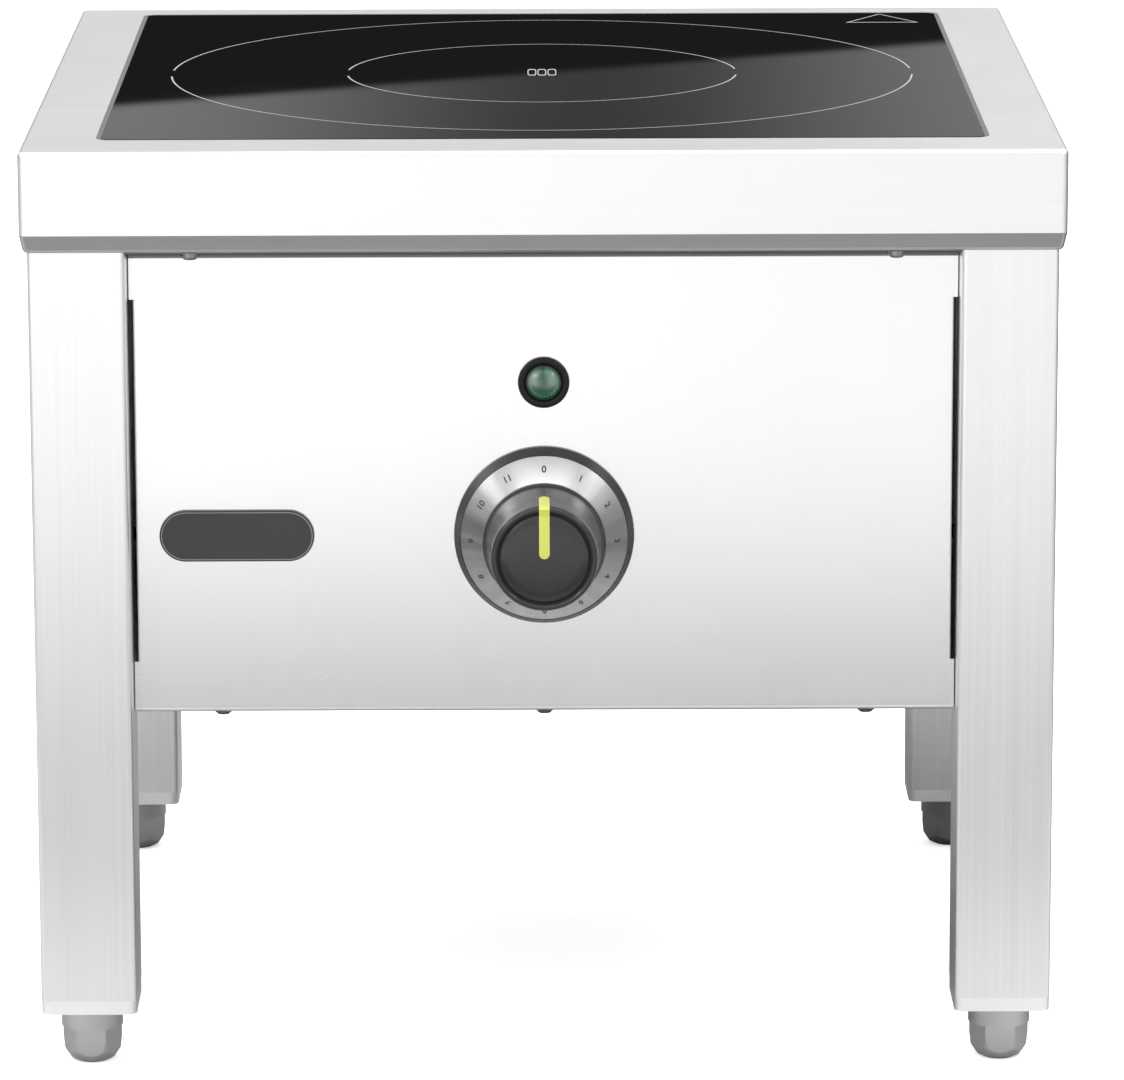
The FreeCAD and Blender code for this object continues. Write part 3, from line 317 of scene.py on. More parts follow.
def plain_metal(name, colour, rough, scales=even(500.0), depth=0.00001, spots=0.1):
    paint = Paint(name)
    marks = paint.noise(scales, detail=3.0)
    cloud = paint.noise(even(HANDLING_SCALE), detail=3.0)
    return paint.finish(Base_Color=paint.tinted(colour, 1 + drift(marks, spots) + drift(cloud, spots)),
                        Metallic=1.0,
                        Roughness=rough + drift(cloud, HANDLED_ROUGHER) + drift(marks, MARKED_ROUGHER),
                        Normal=paint.bump(marks, depth, MARK_STRENGTH))


metals = {name: plain_metal(name, **look) for name, look in METALS.items()}
print("metals:", ", ".join(metals))

# %% [markdown]
# ## Moulded plastics
# A moulded part takes the spark-eroded texture of its tool: a fine even pebble, a fraction of
# a millimetre across. Modelling it would take millions of faces, so noise bumps the surface
# instead. Handled edges polish up, which a slow drift in roughness suggests. `shine` is how
# strongly the plastic mirrors: the blackest parts need less than the usual half.

# %% Moulded plastic
WEAR_SCALE = 70.0
PEBBLE_TONE, WEAR_TONE = 0.12, 0.2
PEBBLE_STRENGTH = 0.35
MOULDINGS = {
    "dial_black": dict(colour=(0.012, 0.012, 0.013), rough=0.28, shine=0.3),
    "knob_black": dict(colour=(0.030, 0.030, 0.032), rough=0.17, pebble=1200.0, depth=0.00001, wear=0.06,
                       shine=0.38),
    "dark_plastic": dict(colour=grey(0.010), rough=0.4, shine=0.2),
    "pointer_lime": dict(colour=(0.62, 0.66, 0.12), rough=0.4, pebble=900.0, depth=0.00001),
    "badge_black": dict(colour=(0.030, 0.030, 0.031), rough=0.36, pebble=900.0, depth=0.00001),
    "badge_line": dict(colour=grey(0.34), rough=0.4, pebble=900.0, depth=0.00001),
    "seal_silicone": dict(colour=grey(0.10), rough=0.5, pebble=500.0, depth=0.0001),
    "mica_board": dict(colour=(0.60, 0.55, 0.45), rough=0.6, pebble=300.0, depth=0.0001, wear=0.2),
    "ferrite": dict(colour=(0.05, 0.05, 0.055), rough=0.5, pebble=900.0, depth=0.00008),
    "sensor_ceramic": dict(colour=(0.78, 0.76, 0.70), rough=0.4),
    "circuit_board": dict(colour=(0.02, 0.17, 0.07), rough=0.3, pebble=220.0, depth=0.0001, wear=0.2),
    "white_plastic": dict(colour=(0.78, 0.78, 0.75), rough=0.4),
    "dial_ink": dict(colour=grey(0.02), rough=0.5),
}


def moulded(name, colour, rough, pebble=1800.0, depth=0.00004, wear=0.12, shine=0.5):
    paint = Paint(name)
    grit = paint.noise(even(pebble))
    cloud = paint.noise(even(WEAR_SCALE), detail=3.0)
    amount = 1 + drift(grit, PEBBLE_TONE) + drift(cloud, WEAR_TONE)
    return paint.finish(Base_Color=paint.tinted(colour, amount), Roughness=rough + drift(cloud, wear),
                        Specular_IOR_Level=shine,
                        Normal=paint.bump(grit, depth, PEBBLE_STRENGTH))


plastics = {name: moulded(name, **look) for name, look in MOULDINGS.items()}
print("plastics:", ", ".join(plastics))

# %% [markdown]
# ## The black glass
# The plate is glass ceramic, dyed black and polished, with fine pale rings fired on to show
# where the pan goes. An image could carry the print, but its edges would soften close up. So
# each ring is a mask of distance from the centre: 1 inside a narrow band, 0 elsewhere. The
# rings stop short at left and right, so a second mask cuts them there. The three small loops
# in the middle are the generic sign for a coil, and the empty triangle stands for a notice.

# %% Sizes of the print
glass_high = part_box("glass_plate")[1]
glass_centre = middle("glass_plate")
OUTER_RING = 162.5 * MM
INNER_RING = 85.5 * MM
LINE_HALF = 0.30 * MM
LINE_SOFT = 0.15 * MM
RING_GAP = 9.0 * MM
LOOP_PITCH = 4.4 * MM
LOOP_HALF_WIDE = 1.7 * MM
LOOP_HALF_DEEP = 8.5 * MM
LOOP_LINE = 0.16 * MM
LOOP_SQUARENESS = 4
SIGN_RIGHT = 157.5 * MM
SIGN_BEFORE_EDGE = 17.5 * MM
SIGN_HALF_WIDE = 16.0 * MM
SIGN_DEEP = 27.0 * MM
SIGN_SIDES, SIGN_LINES = 0.8, 0.6
PRINT_DEEP = 0.5 * MM
print("rings:", OUTER_RING, INNER_RING, "about", glass_centre)

# %% The glass and its print
GLASS_BODY = rgb(0.004, 0.004, 0.0045)
PRINT_PALE = rgb(0.42, 0.42, 0.41)
DUST_PALE = rgb(0.5, 0.5, 0.5)
SMEAR_SCALES = (14.0, 40.0, 14.0)
DUST_SCALE, DUST_SPARSE, DUST_SHARE = 900.0, 0.74, 0.04
POLISHED, SMEARED, FIRED = 0.004, 0.012, 0.35


def black_glass():
    paint = Paint("black_glass")
    x, y, z = paint.parts_of(paint.place())
    x, y = x - glass_centre.x, y - glass_centre.y
    away = (x * x + y * y) ** 0.5

    def line(distance, half=LINE_HALF):
        return 1 - paint.soft_step(abs(distance), half, half + LINE_SOFT)

    rings = paint.sum("MAXIMUM", line(away - OUTER_RING), line(away - INNER_RING))
    printed = rings * paint.soft_step(abs(y), RING_GAP - LINE_SOFT, RING_GAP)
    for column in (-1, 0, 1):
        across = abs(x - column * LOOP_PITCH) / LOOP_HALF_WIDE
        along = abs(y) / LOOP_HALF_DEEP
        shape = (across ** LOOP_SQUARENESS + along ** LOOP_SQUARENESS) ** (1 / LOOP_SQUARENESS)
        printed = paint.sum("MAXIMUM", printed, line((shape - 1) * LOOP_HALF_WIDE, LOOP_LINE))
    side = abs(x - (SIGN_RIGHT - glass_centre.x)) / SIGN_HALF_WIDE
    depth = (y - (glass_high.y - SIGN_BEFORE_EDGE - glass_centre.y)) / SIGN_DEEP
    edge = paint.sum("MAXIMUM", (side + depth - 0.5) * SIGN_SIDES, -0.5 - depth)
    printed = paint.sum("MAXIMUM", printed, line(edge * SIGN_DEEP * SIGN_LINES))
    printed = printed * (z > glass_high.z - PRINT_DEEP)
    smear = paint.noise(SMEAR_SCALES, detail=4.0, rough=0.6)
    dust = paint.noise(even(DUST_SCALE)) > DUST_SPARSE
    body = paint.mix(printed, GLASS_BODY, PRINT_PALE)
    return paint.finish(Base_Color=paint.mix(dust * DUST_SHARE, body, DUST_PALE),
                        Roughness=POLISHED + SMEARED * smear + FIRED * printed)


print("glass:", black_glass().name)

# %% [markdown]
# ## The dial's metal
# The dial ring is spun aluminium: its marks run round the axis, so the noise is read from the
# distance to the axis. Spun metal mirrors a room as a pair of bright fans on either side. A
# render would need a finely turned surface and many samples for that, so the fans are painted
# round the ring, brighter in its upper half.

# %% Spun aluminium
SPUN_PALE = grey(0.98)
SPUN_MARKS, SPUN_MARK_DEPTH, SPUN_MARK_STRENGTH = 5200.0, 0.00002, 0.6
GLINT_MARKS = 5.0
UPPER_HALF = (-0.012, 0.03)
SPUN_DARKEST = 0.30
FAN, FAN_UPPER = 0.34, 0.42
GLINT_TONE, MARK_TONE = 0.22, 0.12
SPUN_ROUGH, SPUN_MARK_ROUGHER = 0.30, 0.1


def spun_aluminium():
    paint = Paint("dial_aluminium")
    x, y, z = paint.parts_of(paint.place())
    z = z - dial.z
    turn = paint.sum("ARCTAN2", z, x)
    marks = paint.noise_along((x * x + z * z) ** 0.5, SPUN_MARKS, detail=2.0)
    glints = paint.noise_along(turn, GLINT_MARKS, detail=3.0)
    fans = 0.5 - 0.5 * paint.sum("COSINE", turn * 2)
    amount = SPUN_DARKEST + FAN * fans + FAN_UPPER * fans * paint.soft_step(z, *UPPER_HALF)
    amount = amount + drift(glints, GLINT_TONE) + drift(marks, MARK_TONE)
    return paint.finish(Base_Color=paint.tinted(SPUN_PALE, amount), Metallic=1.0,
                        Roughness=SPUN_ROUGH + drift(marks, SPUN_MARK_ROUGHER),
                        Normal=paint.bump(marks, SPUN_MARK_DEPTH, SPUN_MARK_STRENGTH))


print("dial:", spun_aluminium().name)

# %% [markdown]
# ## The pilot lamp's lens
# The lens is tinted plastic over a reflector in two halves. Clear plastic over a modelled
# reflector would be nearly black with the lamp off, so the two halves are painted: dark green
# low down where one looks into it, paler where it catches the light, with a dark seam between
# them. Every band below is a share of the lens's radius.

# %% Green lens
lamp = middle("lamp_lens")
lens_low, lens_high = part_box("lamp_lens")
lens_radius = (lens_high.x - lens_low.x) / 2
SEAM_LEFT = 0.04
SEAM_BAND, SEAM_HEIGHTS, SEAM_SHARE = (0.02, 0.12), (-0.2, 0.4), 0.7
LOBE_BAND, LOBE_HEIGHTS, LOBE_SHARE = (0.02, 0.55), (-0.55, 0.35), 0.85
RIBS_ACROSS, RIB_DEPTHS = 34, (0.3, 0.7)
CATCH_BAND, CATCH_SHARE = (0.0, 1.1), 0.5
RIM_BAND, RIM_SHARE = (0.84, 0.93), 0.8
LENS_ROUGH, RIB_ROUGHER = 0.12, 0.05
LENS_COAT, RIB_COAT = 0.5, 0.2
GREEN_DEEP, GREEN_RIB = rgb(0.012, 0.075, 0.042), rgb(0.02, 0.15, 0.08)
GREEN_LOBE, GREEN_CATCH = rgb(0.22, 0.30, 0.25), rgb(0.10, 0.22, 0.15)
GREEN_SEAM, GREEN_RIM = rgb(0.02, 0.07, 0.045), rgb(0.03, 0.07, 0.05)


def green_lens():
    paint = Paint("lamp_green")
    x, y, z = paint.parts_of(paint.place())
    height, side = (z - lamp.z) / lens_radius, (x - lamp.x) / lens_radius
    away = (height * height + side * side) ** 0.5
    from_seam = abs(side + SEAM_LEFT)
    seam = 1 - paint.soft_step(from_seam, *SEAM_BAND)
    lobes = paint.soft_step(from_seam, *LOBE_BAND) * paint.soft_step(height, *LOBE_HEIGHTS)
    ribs = 0.5 + 0.5 * paint.sum("SINE", side * RIBS_ACROSS)
    green = paint.mix(ribs * paint.soft_step(-1 * height, *RIB_DEPTHS), GREEN_DEEP, GREEN_RIB)
    green = paint.mix(lobes * LOBE_SHARE, green, GREEN_LOBE)
    green = paint.mix(paint.soft_step(side + height, *CATCH_BAND) * CATCH_SHARE, green, GREEN_CATCH)
    green = paint.mix(seam * SEAM_SHARE * paint.soft_step(height, *SEAM_HEIGHTS), green, GREEN_SEAM)
    green = paint.mix(paint.soft_step(away, *RIM_BAND) * RIM_SHARE, green, GREEN_RIM)
    return paint.finish(Base_Color=green, Roughness=LENS_ROUGH + RIB_ROUGHER * ribs,
                        Coat_Weight=LENS_COAT + RIB_COAT * ribs)


lamp_green = green_lens()
print("lens radius:", round(lens_radius, 5))

# %% [markdown]
# ## Giving each part its finish
# The record names one slot per part, and each slot has a material of the same name. The parts
# could be painted one by one, but a list would fall behind when a part is added. So they are
# painted by looking their slots up.

# %% Paint the measured parts
finishes = {material.name: material for material in bpy.data.materials}
slot_of = {row["node"]: row["material_slot"] for row in frame["record"]["subparts"]}
for name, node in nodes.items():
    node.data.materials.clear()
    node.data.materials.append(finishes[slot_of[name]])
print("painted", len(nodes), "parts")

# %% [markdown]
# ## Broken edges
# No real edge is perfectly sharp, and the thin highlight along a bend says "metal". The legs
# and their plugs have the edges that show most. Rounding the mesh by hand would be slow, so a
# Bevel modifier rounds only edges that turn sharply. Every other part just has smooth shading
# that stops at sharp edges, so its flats stay flat.

# %% Soften the edges
EDGE_ANGLE = math.radians(35)
BEVEL_SEGMENTS = 3
LEG_CORNER = 1.1 * MM
PLUG_CORNER = 0.6 * MM


def soften_edges(node, width):
    bevel = node.modifiers.new("broken_edges", "BEVEL")
    bevel.width = width
    bevel.segments = BEVEL_SEGMENTS
    bevel.limit_method = "ANGLE"
    bevel.angle_limit = EDGE_ANGLE
    bevel.harden_normals = True


def shade_smooth(node, angle=EDGE_ANGLE):
    node.data.set_sharp_from_angle(angle=angle)
    for face in node.data.polygons:
        face.use_smooth = True


for node in nodes.values():
    shade_smooth(node)
for corner in ("front_left", "front_right", "rear_left", "rear_right"):
    soften_edges(nodes["leg_" + corner], LEG_CORNER)
    soften_edges(nodes["leg_plug_" + corner], PLUG_CORNER)
print("rounded the edges of 4 legs and 4 plugs")

# %% [markdown]
# ## Turned shapes
# The knob, the lamp lens and its bezel are shapes of revolution. A Screw modifier could turn
# them, but a loop says plainly what is made, and works about any axis. A profile is a list of
# pairs in millimetres: distance from the axis, then distance along it. `add_piece` gives a new
# mesh its material and the body it moves with.

# %% Adding a piece
FORWARD = Vector((0, -1, 0))
BACKWARD = Vector((0, 1, 0))
UPWARD = Vector((0, 0, 1))
EAST = Vector((1, 0, 0))


def add_piece(name, mesh_maker, finish, body, replaced=(), angle=EDGE_ANGLE):
    bmesh.ops.recalc_face_normals(mesh_maker, faces=mesh_maker.faces)
    mesh = bpy.data.meshes.new(name)
    mesh_maker.to_mesh(mesh)
    mesh_maker.free()
    mesh.materials.append(finish)
    piece = bpy.data.objects.new(name, mesh)
    bpy.context.scene.collection.objects.link(piece)
    shade_smooth(piece, angle)
    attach(piece, body)
    if replaced:
        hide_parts(*replaced)
    print("made", name, "with", len(mesh.polygons), "faces")


# %% Turning a profile
TURN_STEPS = 96


def band_between(maker, first, second):
    """Faces between two rings with as many corners each."""
    for step in range(len(first)):
        after = (step + 1) % len(first)
        maker.faces.new((first[step], first[after], second[after], second[step]))


def skin(maker, rings):
    """A closed skin over a row of rings, with a flat face at either end."""
    for first, second in zip(rings, rings[1:]):
        band_between(maker, first, second)
    maker.faces.new(rings[0])
    maker.faces.new(rings[-1])


def turn_profile(maker, profile, foot_of_axis, axis, steps=TURN_STEPS):
    upright = axis.cross(EAST)
    rings = []
    for radius, along in profile:
        ring = []
        for step in range(steps):
            angle = math.tau * step / steps
            outward = EAST * math.cos(angle) + upright * math.sin(angle)
            ring.append(maker.verts.new(foot_of_axis + axis * along * MM + outward * radius * MM))
        rings.append(ring)
    skin(maker, rings)
    return maker


print("a profile is turned in steps of", 360 / TURN_STEPS, "degrees")

# %% [markdown]
# ## The knob
# The knob's flank leans in from a thin skirt to a rounded rim. Inside the rim a groove runs
# round a face that is slightly domed. The knob is moulded, so all its edges are soft, which a
# turned profile gives without any modifier. It is placed by the front of the plain knob that
# it replaces, just short of it, so that it stays inside the measured size.

# %% Knob
KNOB_PROFILE = [(3.0, 18.6), (24.9, 18.6), (25.5, 18.9), (25.6, 19.5), (25.3, 20.1), (24.6, 20.6),
                (24.35, 21.4), (24.1, 24.5), (23.7, 28.5), (23.2, 33.5), (22.7, 38.5), (22.35, 42.5),
                (22.15, 45.0), (21.95, 46.3), (21.5, 47.3), (20.8, 47.85), (20.1, 47.7), (19.6, 47.1),
                (19.35, 46.3), (18.9, 45.9), (18.45, 46.1), (18.25, 46.7), (17.8, 47.0), (14.0, 47.25),
                (9.0, 47.45), (4.0, 47.55), (0.6, 47.57)]
KNOB_STEPS = 160
KNOB_REACH = 48.12
KNOB_ANGLE = math.radians(60)
knob_middle = middle("knob")
knob_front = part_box("knob")[0].y
axis_foot = Vector((knob_middle.x, knob_front + KNOB_REACH * MM, knob_middle.z))
knob_maker = turn_profile(bmesh.new(), KNOB_PROFILE, axis_foot, FORWARD, KNOB_STEPS)
add_piece("knob_turned", knob_maker, plastics["knob_black"], "knob", ("knob",), KNOB_ANGLE)

# %% [markdown]
# ## The pointer
# The pointer is one strip, inlaid from the middle of the face over the rim and down the flank.
# It could be cut from a flat shape and wrapped with a modifier. Following the knob's own
# profile is simpler: the strip runs along it, a little proud of it, and bridges the groove.

# %% The pointer's way over the knob
POINTER_HALF = 2.15
POINTER_PROUD = 0.22
POINTER_END = (23.18, 33.6)
GROOVE_IN, GROOVE_OUT = 18.0, 20.6
FACE_LEVEL = KNOB_PROFILE[-1][1]
STRIP_STEP = 0.35
pointer_start = (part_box("knob_pointer")[0].z - knob_middle.z) / MM


def pointer_path():
    """The knob's profile from the middle out, as (height, forward), up to the flank."""
    bare = [(radius, along) for radius, along in reversed(KNOB_PROFILE)
            if along > POINTER_END[1] and not GROOVE_IN < radius < GROOVE_OUT]
    outer = [spot for spot in bare if spot[0] > pointer_start]
    return [(pointer_start, FACE_LEVEL)] + outer + [POINTER_END]


def strip_rows(path, half):
    """Rows of a strip with round ends: (height, forward, half width)."""
    finer = []
    for (h0, f0), (h1, f1) in zip(path, path[1:]):
        count = max(1, round(math.hypot(h1 - h0, f1 - f0) / STRIP_STEP))
        finer += [(h0 + (h1 - h0) * k / count, f0 + (f1 - f0) * k / count) for k in range(count)]
    finer.append(path[-1])
    lengths = [0.0]
    for first, second in zip(finer, finer[1:]):
        lengths.append(lengths[-1] + math.dist(first, second))
    rows = []
    for (height, forward), run in zip(finer, lengths):
        inside = min(1.0, min(run, lengths[-1] - run) / half)
        rows.append((height, forward, half * math.sqrt(max(0.0, 1 - (1 - inside) ** 2))))
    return rows


pointer_rows = strip_rows(pointer_path(), POINTER_HALF)
print("pointer rows:", len(pointer_rows), "from", round(pointer_start, 2), "mm above the axis")

# %% Pointer
POINTER_SECTION = [(-1.0, -0.6), (-1.0, 0.55), (-0.93, 0.85), (-0.8, 1.0), (0.8, 1.0), (0.93, 0.85),
                   (1.0, 0.55), (1.0, -0.6)]
POINTER_TIP_HALF = 0.05
FLANK_RADIUS = 22.5
FLANK_BELOW = 46.0


def pointer_strip():
    maker = bmesh.new()
    rings = []
    for index, (height, forward, half) in enumerate(pointer_rows):
        before = pointer_rows[max(0, index - 1)]
        after = pointer_rows[min(len(pointer_rows) - 1, index + 1)]
        run = Vector((after[0] - before[0], after[1] - before[1])).normalized()
        ring = []
        for side, lift in POINTER_SECTION:
            x = side * max(half, POINTER_TIP_HALF)
            sag = x * x / (2 * FLANK_RADIUS) if forward < FLANK_BELOW else 0.0
            lifted = lift * POINTER_PROUD - sag
            ring.append(maker.verts.new((axis_foot.x + x * MM, axis_foot.y - (forward + run.x * lifted) * MM,
                                         axis_foot.z + (height - run.y * lifted) * MM)))
        rings.append(ring)
    skin(maker, rings)
    return maker


add_piece("pointer_inlaid", pointer_strip(), plastics["pointer_lime"], "knob",
          ("knob_pointer",))

# %% [markdown]
# ## The figures round the dial
# The figures 0 to 11 stand on the cone with their tops outwards. A Shrinkwrap would press text
# onto the cone but spread the tops. Here each figure is made flat as text, turned into a mesh,
# and every corner of it is carried onto the cone by the same sum, which keeps its shape.

# %% Places on the cone
CONE_OUT, CONE_IN = (34.75, 7.0), (25.7, 18.0)
FIGURE_SPOT = 0.50
FIGURE_PROUD = 0.03
dial_foot = Vector((dial.x, panel_face, dial.z))
cone_run = Vector((CONE_OUT[0] - CONE_IN[0], CONE_OUT[1] - CONE_IN[1]))
cone_normal = Vector((-cone_run.y, cone_run.x)).normalized()


def on_cone(turn, sideways, outwards):
    """A point on the cone: turn clockwise from the top, millimetres sideways and outwards."""
    share = FIGURE_SPOT + outwards / cone_run.length
    radius = CONE_IN[0] + cone_run.x * share + cone_normal.x * FIGURE_PROUD
    forward = CONE_IN[1] + cone_run.y * share + cone_normal.y * FIGURE_PROUD
    angle = turn + sideways / radius
    out = EAST * math.sin(angle) + UPWARD * math.cos(angle)
    return dial_foot + out * radius * MM + FORWARD * forward * MM


print("the cone's slope is", round(cone_run.length, 2), "mm long")

# %% Figures
FIGURES = 12
FIGURE_TALL = 3.5
FIGURE_NARROW = 0.8
FIGURE_BOLD = 0.11
CAPITAL_SHARE = 0.7


def figure_mesh(figure):
    text = bpy.data.curves.new("figure", "FONT")
    text.body = str(figure)
    text.align_x, text.align_y = "CENTER", "CENTER"
    text.size = FIGURE_TALL / CAPITAL_SHARE
    text.offset = FIGURE_BOLD
    carrier = bpy.data.objects.new("figure", text)
    flat = bpy.data.meshes.new_from_object(carrier)
    bpy.data.objects.remove(carrier)
    bpy.data.curves.remove(text)
    return flat


figures_maker = bmesh.new()
for figure in range(FIGURES):
    flat = figure_mesh(figure)
    first = len(figures_maker.verts)
    figures_maker.from_mesh(flat)
    figures_maker.verts.ensure_lookup_table()
    for corner in figures_maker.verts[first:]:
        corner.co = on_cone(math.tau * figure / FIGURES, corner.co.x * FIGURE_NARROW, corner.co.y)
    bpy.data.meshes.remove(flat)
add_piece("dial_figures", figures_maker, plastics["dial_ink"], "frame")

# %% [markdown]
# ## The badge border
# The badge is a blank pill with a thin pale line set in from its edge. The line could be part
# of the badge's material, but a strip of its own stays crisp however close one looks.


# %% Badge border
def pill(half_long, half_high, steps=24):
    """Corners of a pill outline, anticlockwise, in millimetres."""
    spots = []
    for side, start in ((1, -90), (-1, 90)):
        for step in range(steps + 1):
            angle = math.radians(start + 180 * step / steps)
            reach = side * (half_long - half_high) + half_high * math.cos(angle)
            spots.append((reach, half_high * math.sin(angle)))
    return spots


BADGE_INSET = 0.75
BADGE_LINE = 0.24
BADGE_PROUD = 0.03 * MM
badge_low, badge_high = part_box("badge")
badge_middle = middle("badge")
badge_half = ((badge_high.x - badge_low.x) / 2 / MM, (badge_high.z - badge_low.z) / 2 / MM)
border_front = badge_low.y - BADGE_PROUD
border_maker = bmesh.new()
border = []
for inset in (BADGE_INSET, BADGE_INSET + BADGE_LINE):
    outline = pill(badge_half[0] - inset, badge_half[1] - inset)
    border.append([border_maker.verts.new((badge_middle.x + x * MM, border_front, badge_middle.z + z * MM))
                   for x, z in outline])
band_between(border_maker, *border)
add_piece("badge_border", border_maker, plastics["badge_line"], "frame")

# %% [markdown]
# ## The pilot lamp
# The lens is a low dome with a straight collar, sitting in a bezel whose mouth is rounded. The
# measured parts say where they sit and how large they are. A Bevel modifier would round their
# edges but not shape the dome, so both are turned again from finer profiles, with the lens a
# hair's breadth inside the bezel.

# %% Lamp lens and bezel
LENS_PROFILE = [(1.0, 0.0), (7.2, 0.0), (7.3, 1.4), (7.2, 1.9), (6.75, 2.3), (6.5, 2.6), (6.2, 3.3),
                (5.6, 3.95), (4.6, 4.5), (3.2, 4.83), (1.6, 4.97), (0.3, 4.99)]
BEZEL_PROFILE = [(7.38, 0.1), (10.6, 0.0), (10.72, 0.3), (10.68, 1.1), (10.4, 1.8), (9.9, 2.15),
                 (9.2, 2.2), (8.4, 2.05), (7.8, 1.6), (7.45, 0.9)]
LENS_ANGLE = math.radians(50)
BEZEL_ANGLE = math.radians(60)
lens_foot = Vector((lamp.x, lens_high.y, lamp.z))
bezel_foot = Vector((lamp.x, panel_face, lamp.z))
lens_maker = turn_profile(bmesh.new(), LENS_PROFILE, lens_foot, FORWARD)
add_piece("lens_domed", lens_maker, lamp_green, "frame", ("lamp_lens",), LENS_ANGLE)
bezel_maker = turn_profile(bmesh.new(), BEZEL_PROFILE, bezel_foot, FORWARD)
add_piece("lamp_mouth", bezel_maker, plastics["dark_plastic"], "frame", ("lamp_bezel",),
          BEZEL_ANGLE)

# %% [markdown]
# ## The rating plate
# On the back, under the air slots, sits the usual rating plate: thin aluminium with clipped
# corners, a raised rim and four rivets. It is left blank here. It is built like a stack of
# outlines, each a little further out or further in than the one before.

# %% Sizes of the plate
PLATE_HALF = (44.0, 19.0)
PLATE_RIM = 1.6
PLATE_CLIP = 3.0
PLATE_THICK = 0.7
PLATE_DISH = 0.25
PLATE_EDGE, PLATE_EDGE_SHARE = 0.2, 0.8
PLATE_SLOPE = 0.3
REAR_FACE = 176 * MM
PLATE_RAISED = 16 * MM
between = (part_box("rear_panel")[0].z + middle("cable_gland").z) / 2
plate_middle = Vector((0, REAR_FACE, between + PLATE_RAISED))
print("plate middle:", plate_middle)


# %% Blank plate
def clipped(half_long, half_high, clip):
    """Corners of a rectangle with its corners cut off, in millimetres."""
    spots = []
    for sx, sz in ((1, 1), (-1, 1), (-1, -1), (1, -1)):
        pair = [(sx * half_long, sz * (half_high - clip)), (sx * (half_long - clip), sz * half_high)]
        spots += pair if sx == sz else pair[::-1]
    return spots


def plate_spot(x, z, out):
    return plate_middle + EAST * x * MM + UPWARD * z * MM + BACKWARD * out * MM


def plate_shape():
    maker = bmesh.new()
    levels = [(0.0, 0.0), (0.0, PLATE_THICK * PLATE_EDGE_SHARE), (PLATE_EDGE, PLATE_THICK),
              (PLATE_RIM, PLATE_THICK), (PLATE_RIM + PLATE_SLOPE, PLATE_THICK - PLATE_DISH)]
    skin(maker, [[maker.verts.new(plate_spot(x, z, out))
                  for x, z in clipped(PLATE_HALF[0] - inset, PLATE_HALF[1] - inset, PLATE_CLIP)]
                 for inset, out in levels])
    return maker


add_piece("rating_plate", plate_shape(), metals["bare_aluminium"], "frame")

# %% Rivets
RIVET_PROFILE = [(1.9, 0.0), (1.85, 0.45), (1.5, 0.85), (0.9, 1.08), (0.2, 1.15)]
RIVET_STEPS = 20
RIVET_IN = 4.2
rivets = bmesh.new()
for sx in (-1, 1):
    for sz in (-1, 1):
        rivet_foot = plate_spot(sx * (PLATE_HALF[0] - RIVET_IN), sz * (PLATE_HALF[1] - RIVET_IN),
                                PLATE_THICK - PLATE_DISH)
        turn_profile(rivets, RIVET_PROFILE, rivet_foot, BACKWARD, RIVET_STEPS)
add_piece("plate_rivets", rivets, metals["bare_aluminium"], "frame")

# %% [markdown]
# ## The floor
# The hob stands on a pale studio floor. One sheet could serve both the eye and the metal, but
# a white floor that the steel mirrors makes the whole front one flat white. So there are two
# sheets. The eye sees the upper one, which glows a little and casts no light on the hob. The
# metal mirrors the lower one, which is painted lighter and darker in bands away from the hob,
# and that gives the upright faces their slow gradient.

# %% Two floor sheets
FLOOR_HALF = 30.0
FLOOR_PALE, FLOOR_ROUGH = 0.9, 0.7
FLOOR_CLOUD, FLOOR_UNEVEN = 3.0, 0.02
FLOOR_GLOW = 0.52


def flat_sheet(name, height, material):
    mesh = bpy.data.meshes.new(name)
    corners = [(-FLOOR_HALF, -FLOOR_HALF), (FLOOR_HALF, -FLOOR_HALF), (FLOOR_HALF, FLOOR_HALF),
               (-FLOOR_HALF, FLOOR_HALF)]
    mesh.from_pydata([(x, y, height) for x, y in corners], [], [(0, 1, 2, 3)])
    mesh.materials.append(material)
    sheet = bpy.data.objects.new(name, mesh)
    bpy.context.scene.collection.objects.link(sheet)
    return sheet


def floor_paint():
    paint = Paint("floor_pale")
    cloud = paint.noise(even(FLOOR_CLOUD), detail=3.0)
    pale = paint.tinted(grey(FLOOR_PALE), 1 + drift(cloud, FLOOR_UNEVEN))
    return paint.finish(Base_Color=pale, Roughness=FLOOR_ROUGH, Emission_Color=rgb(1.0, 1.0, 1.0),
                        Emission_Strength=FLOOR_GLOW)


print("floor sheets reach", FLOOR_HALF, "m each way")


# %% Bands that the metal mirrors
UNDER_BAND, NEAR_BAND, FAR_BAND, EDGE_BAND = (0.05, 0.22), (0.30, 0.65), (0.66, 1.42), (1.45, 1.8)
LEFT_BAND = (-0.16, 0.10)
BEHIND_SHADE, UNDER_LIFT, NEAR_DROP, FAR_LIFT = 0.28, 0.47, 0.58, 1.02
LEFT_BEHIND, LEFT_EDGE, LEFT_EDGE_EVEN = 0.30, 0.45, 0.6
BOUNCE_ROUGH = 0.8
BOUNCE_LEVEL = -0.5 * MM


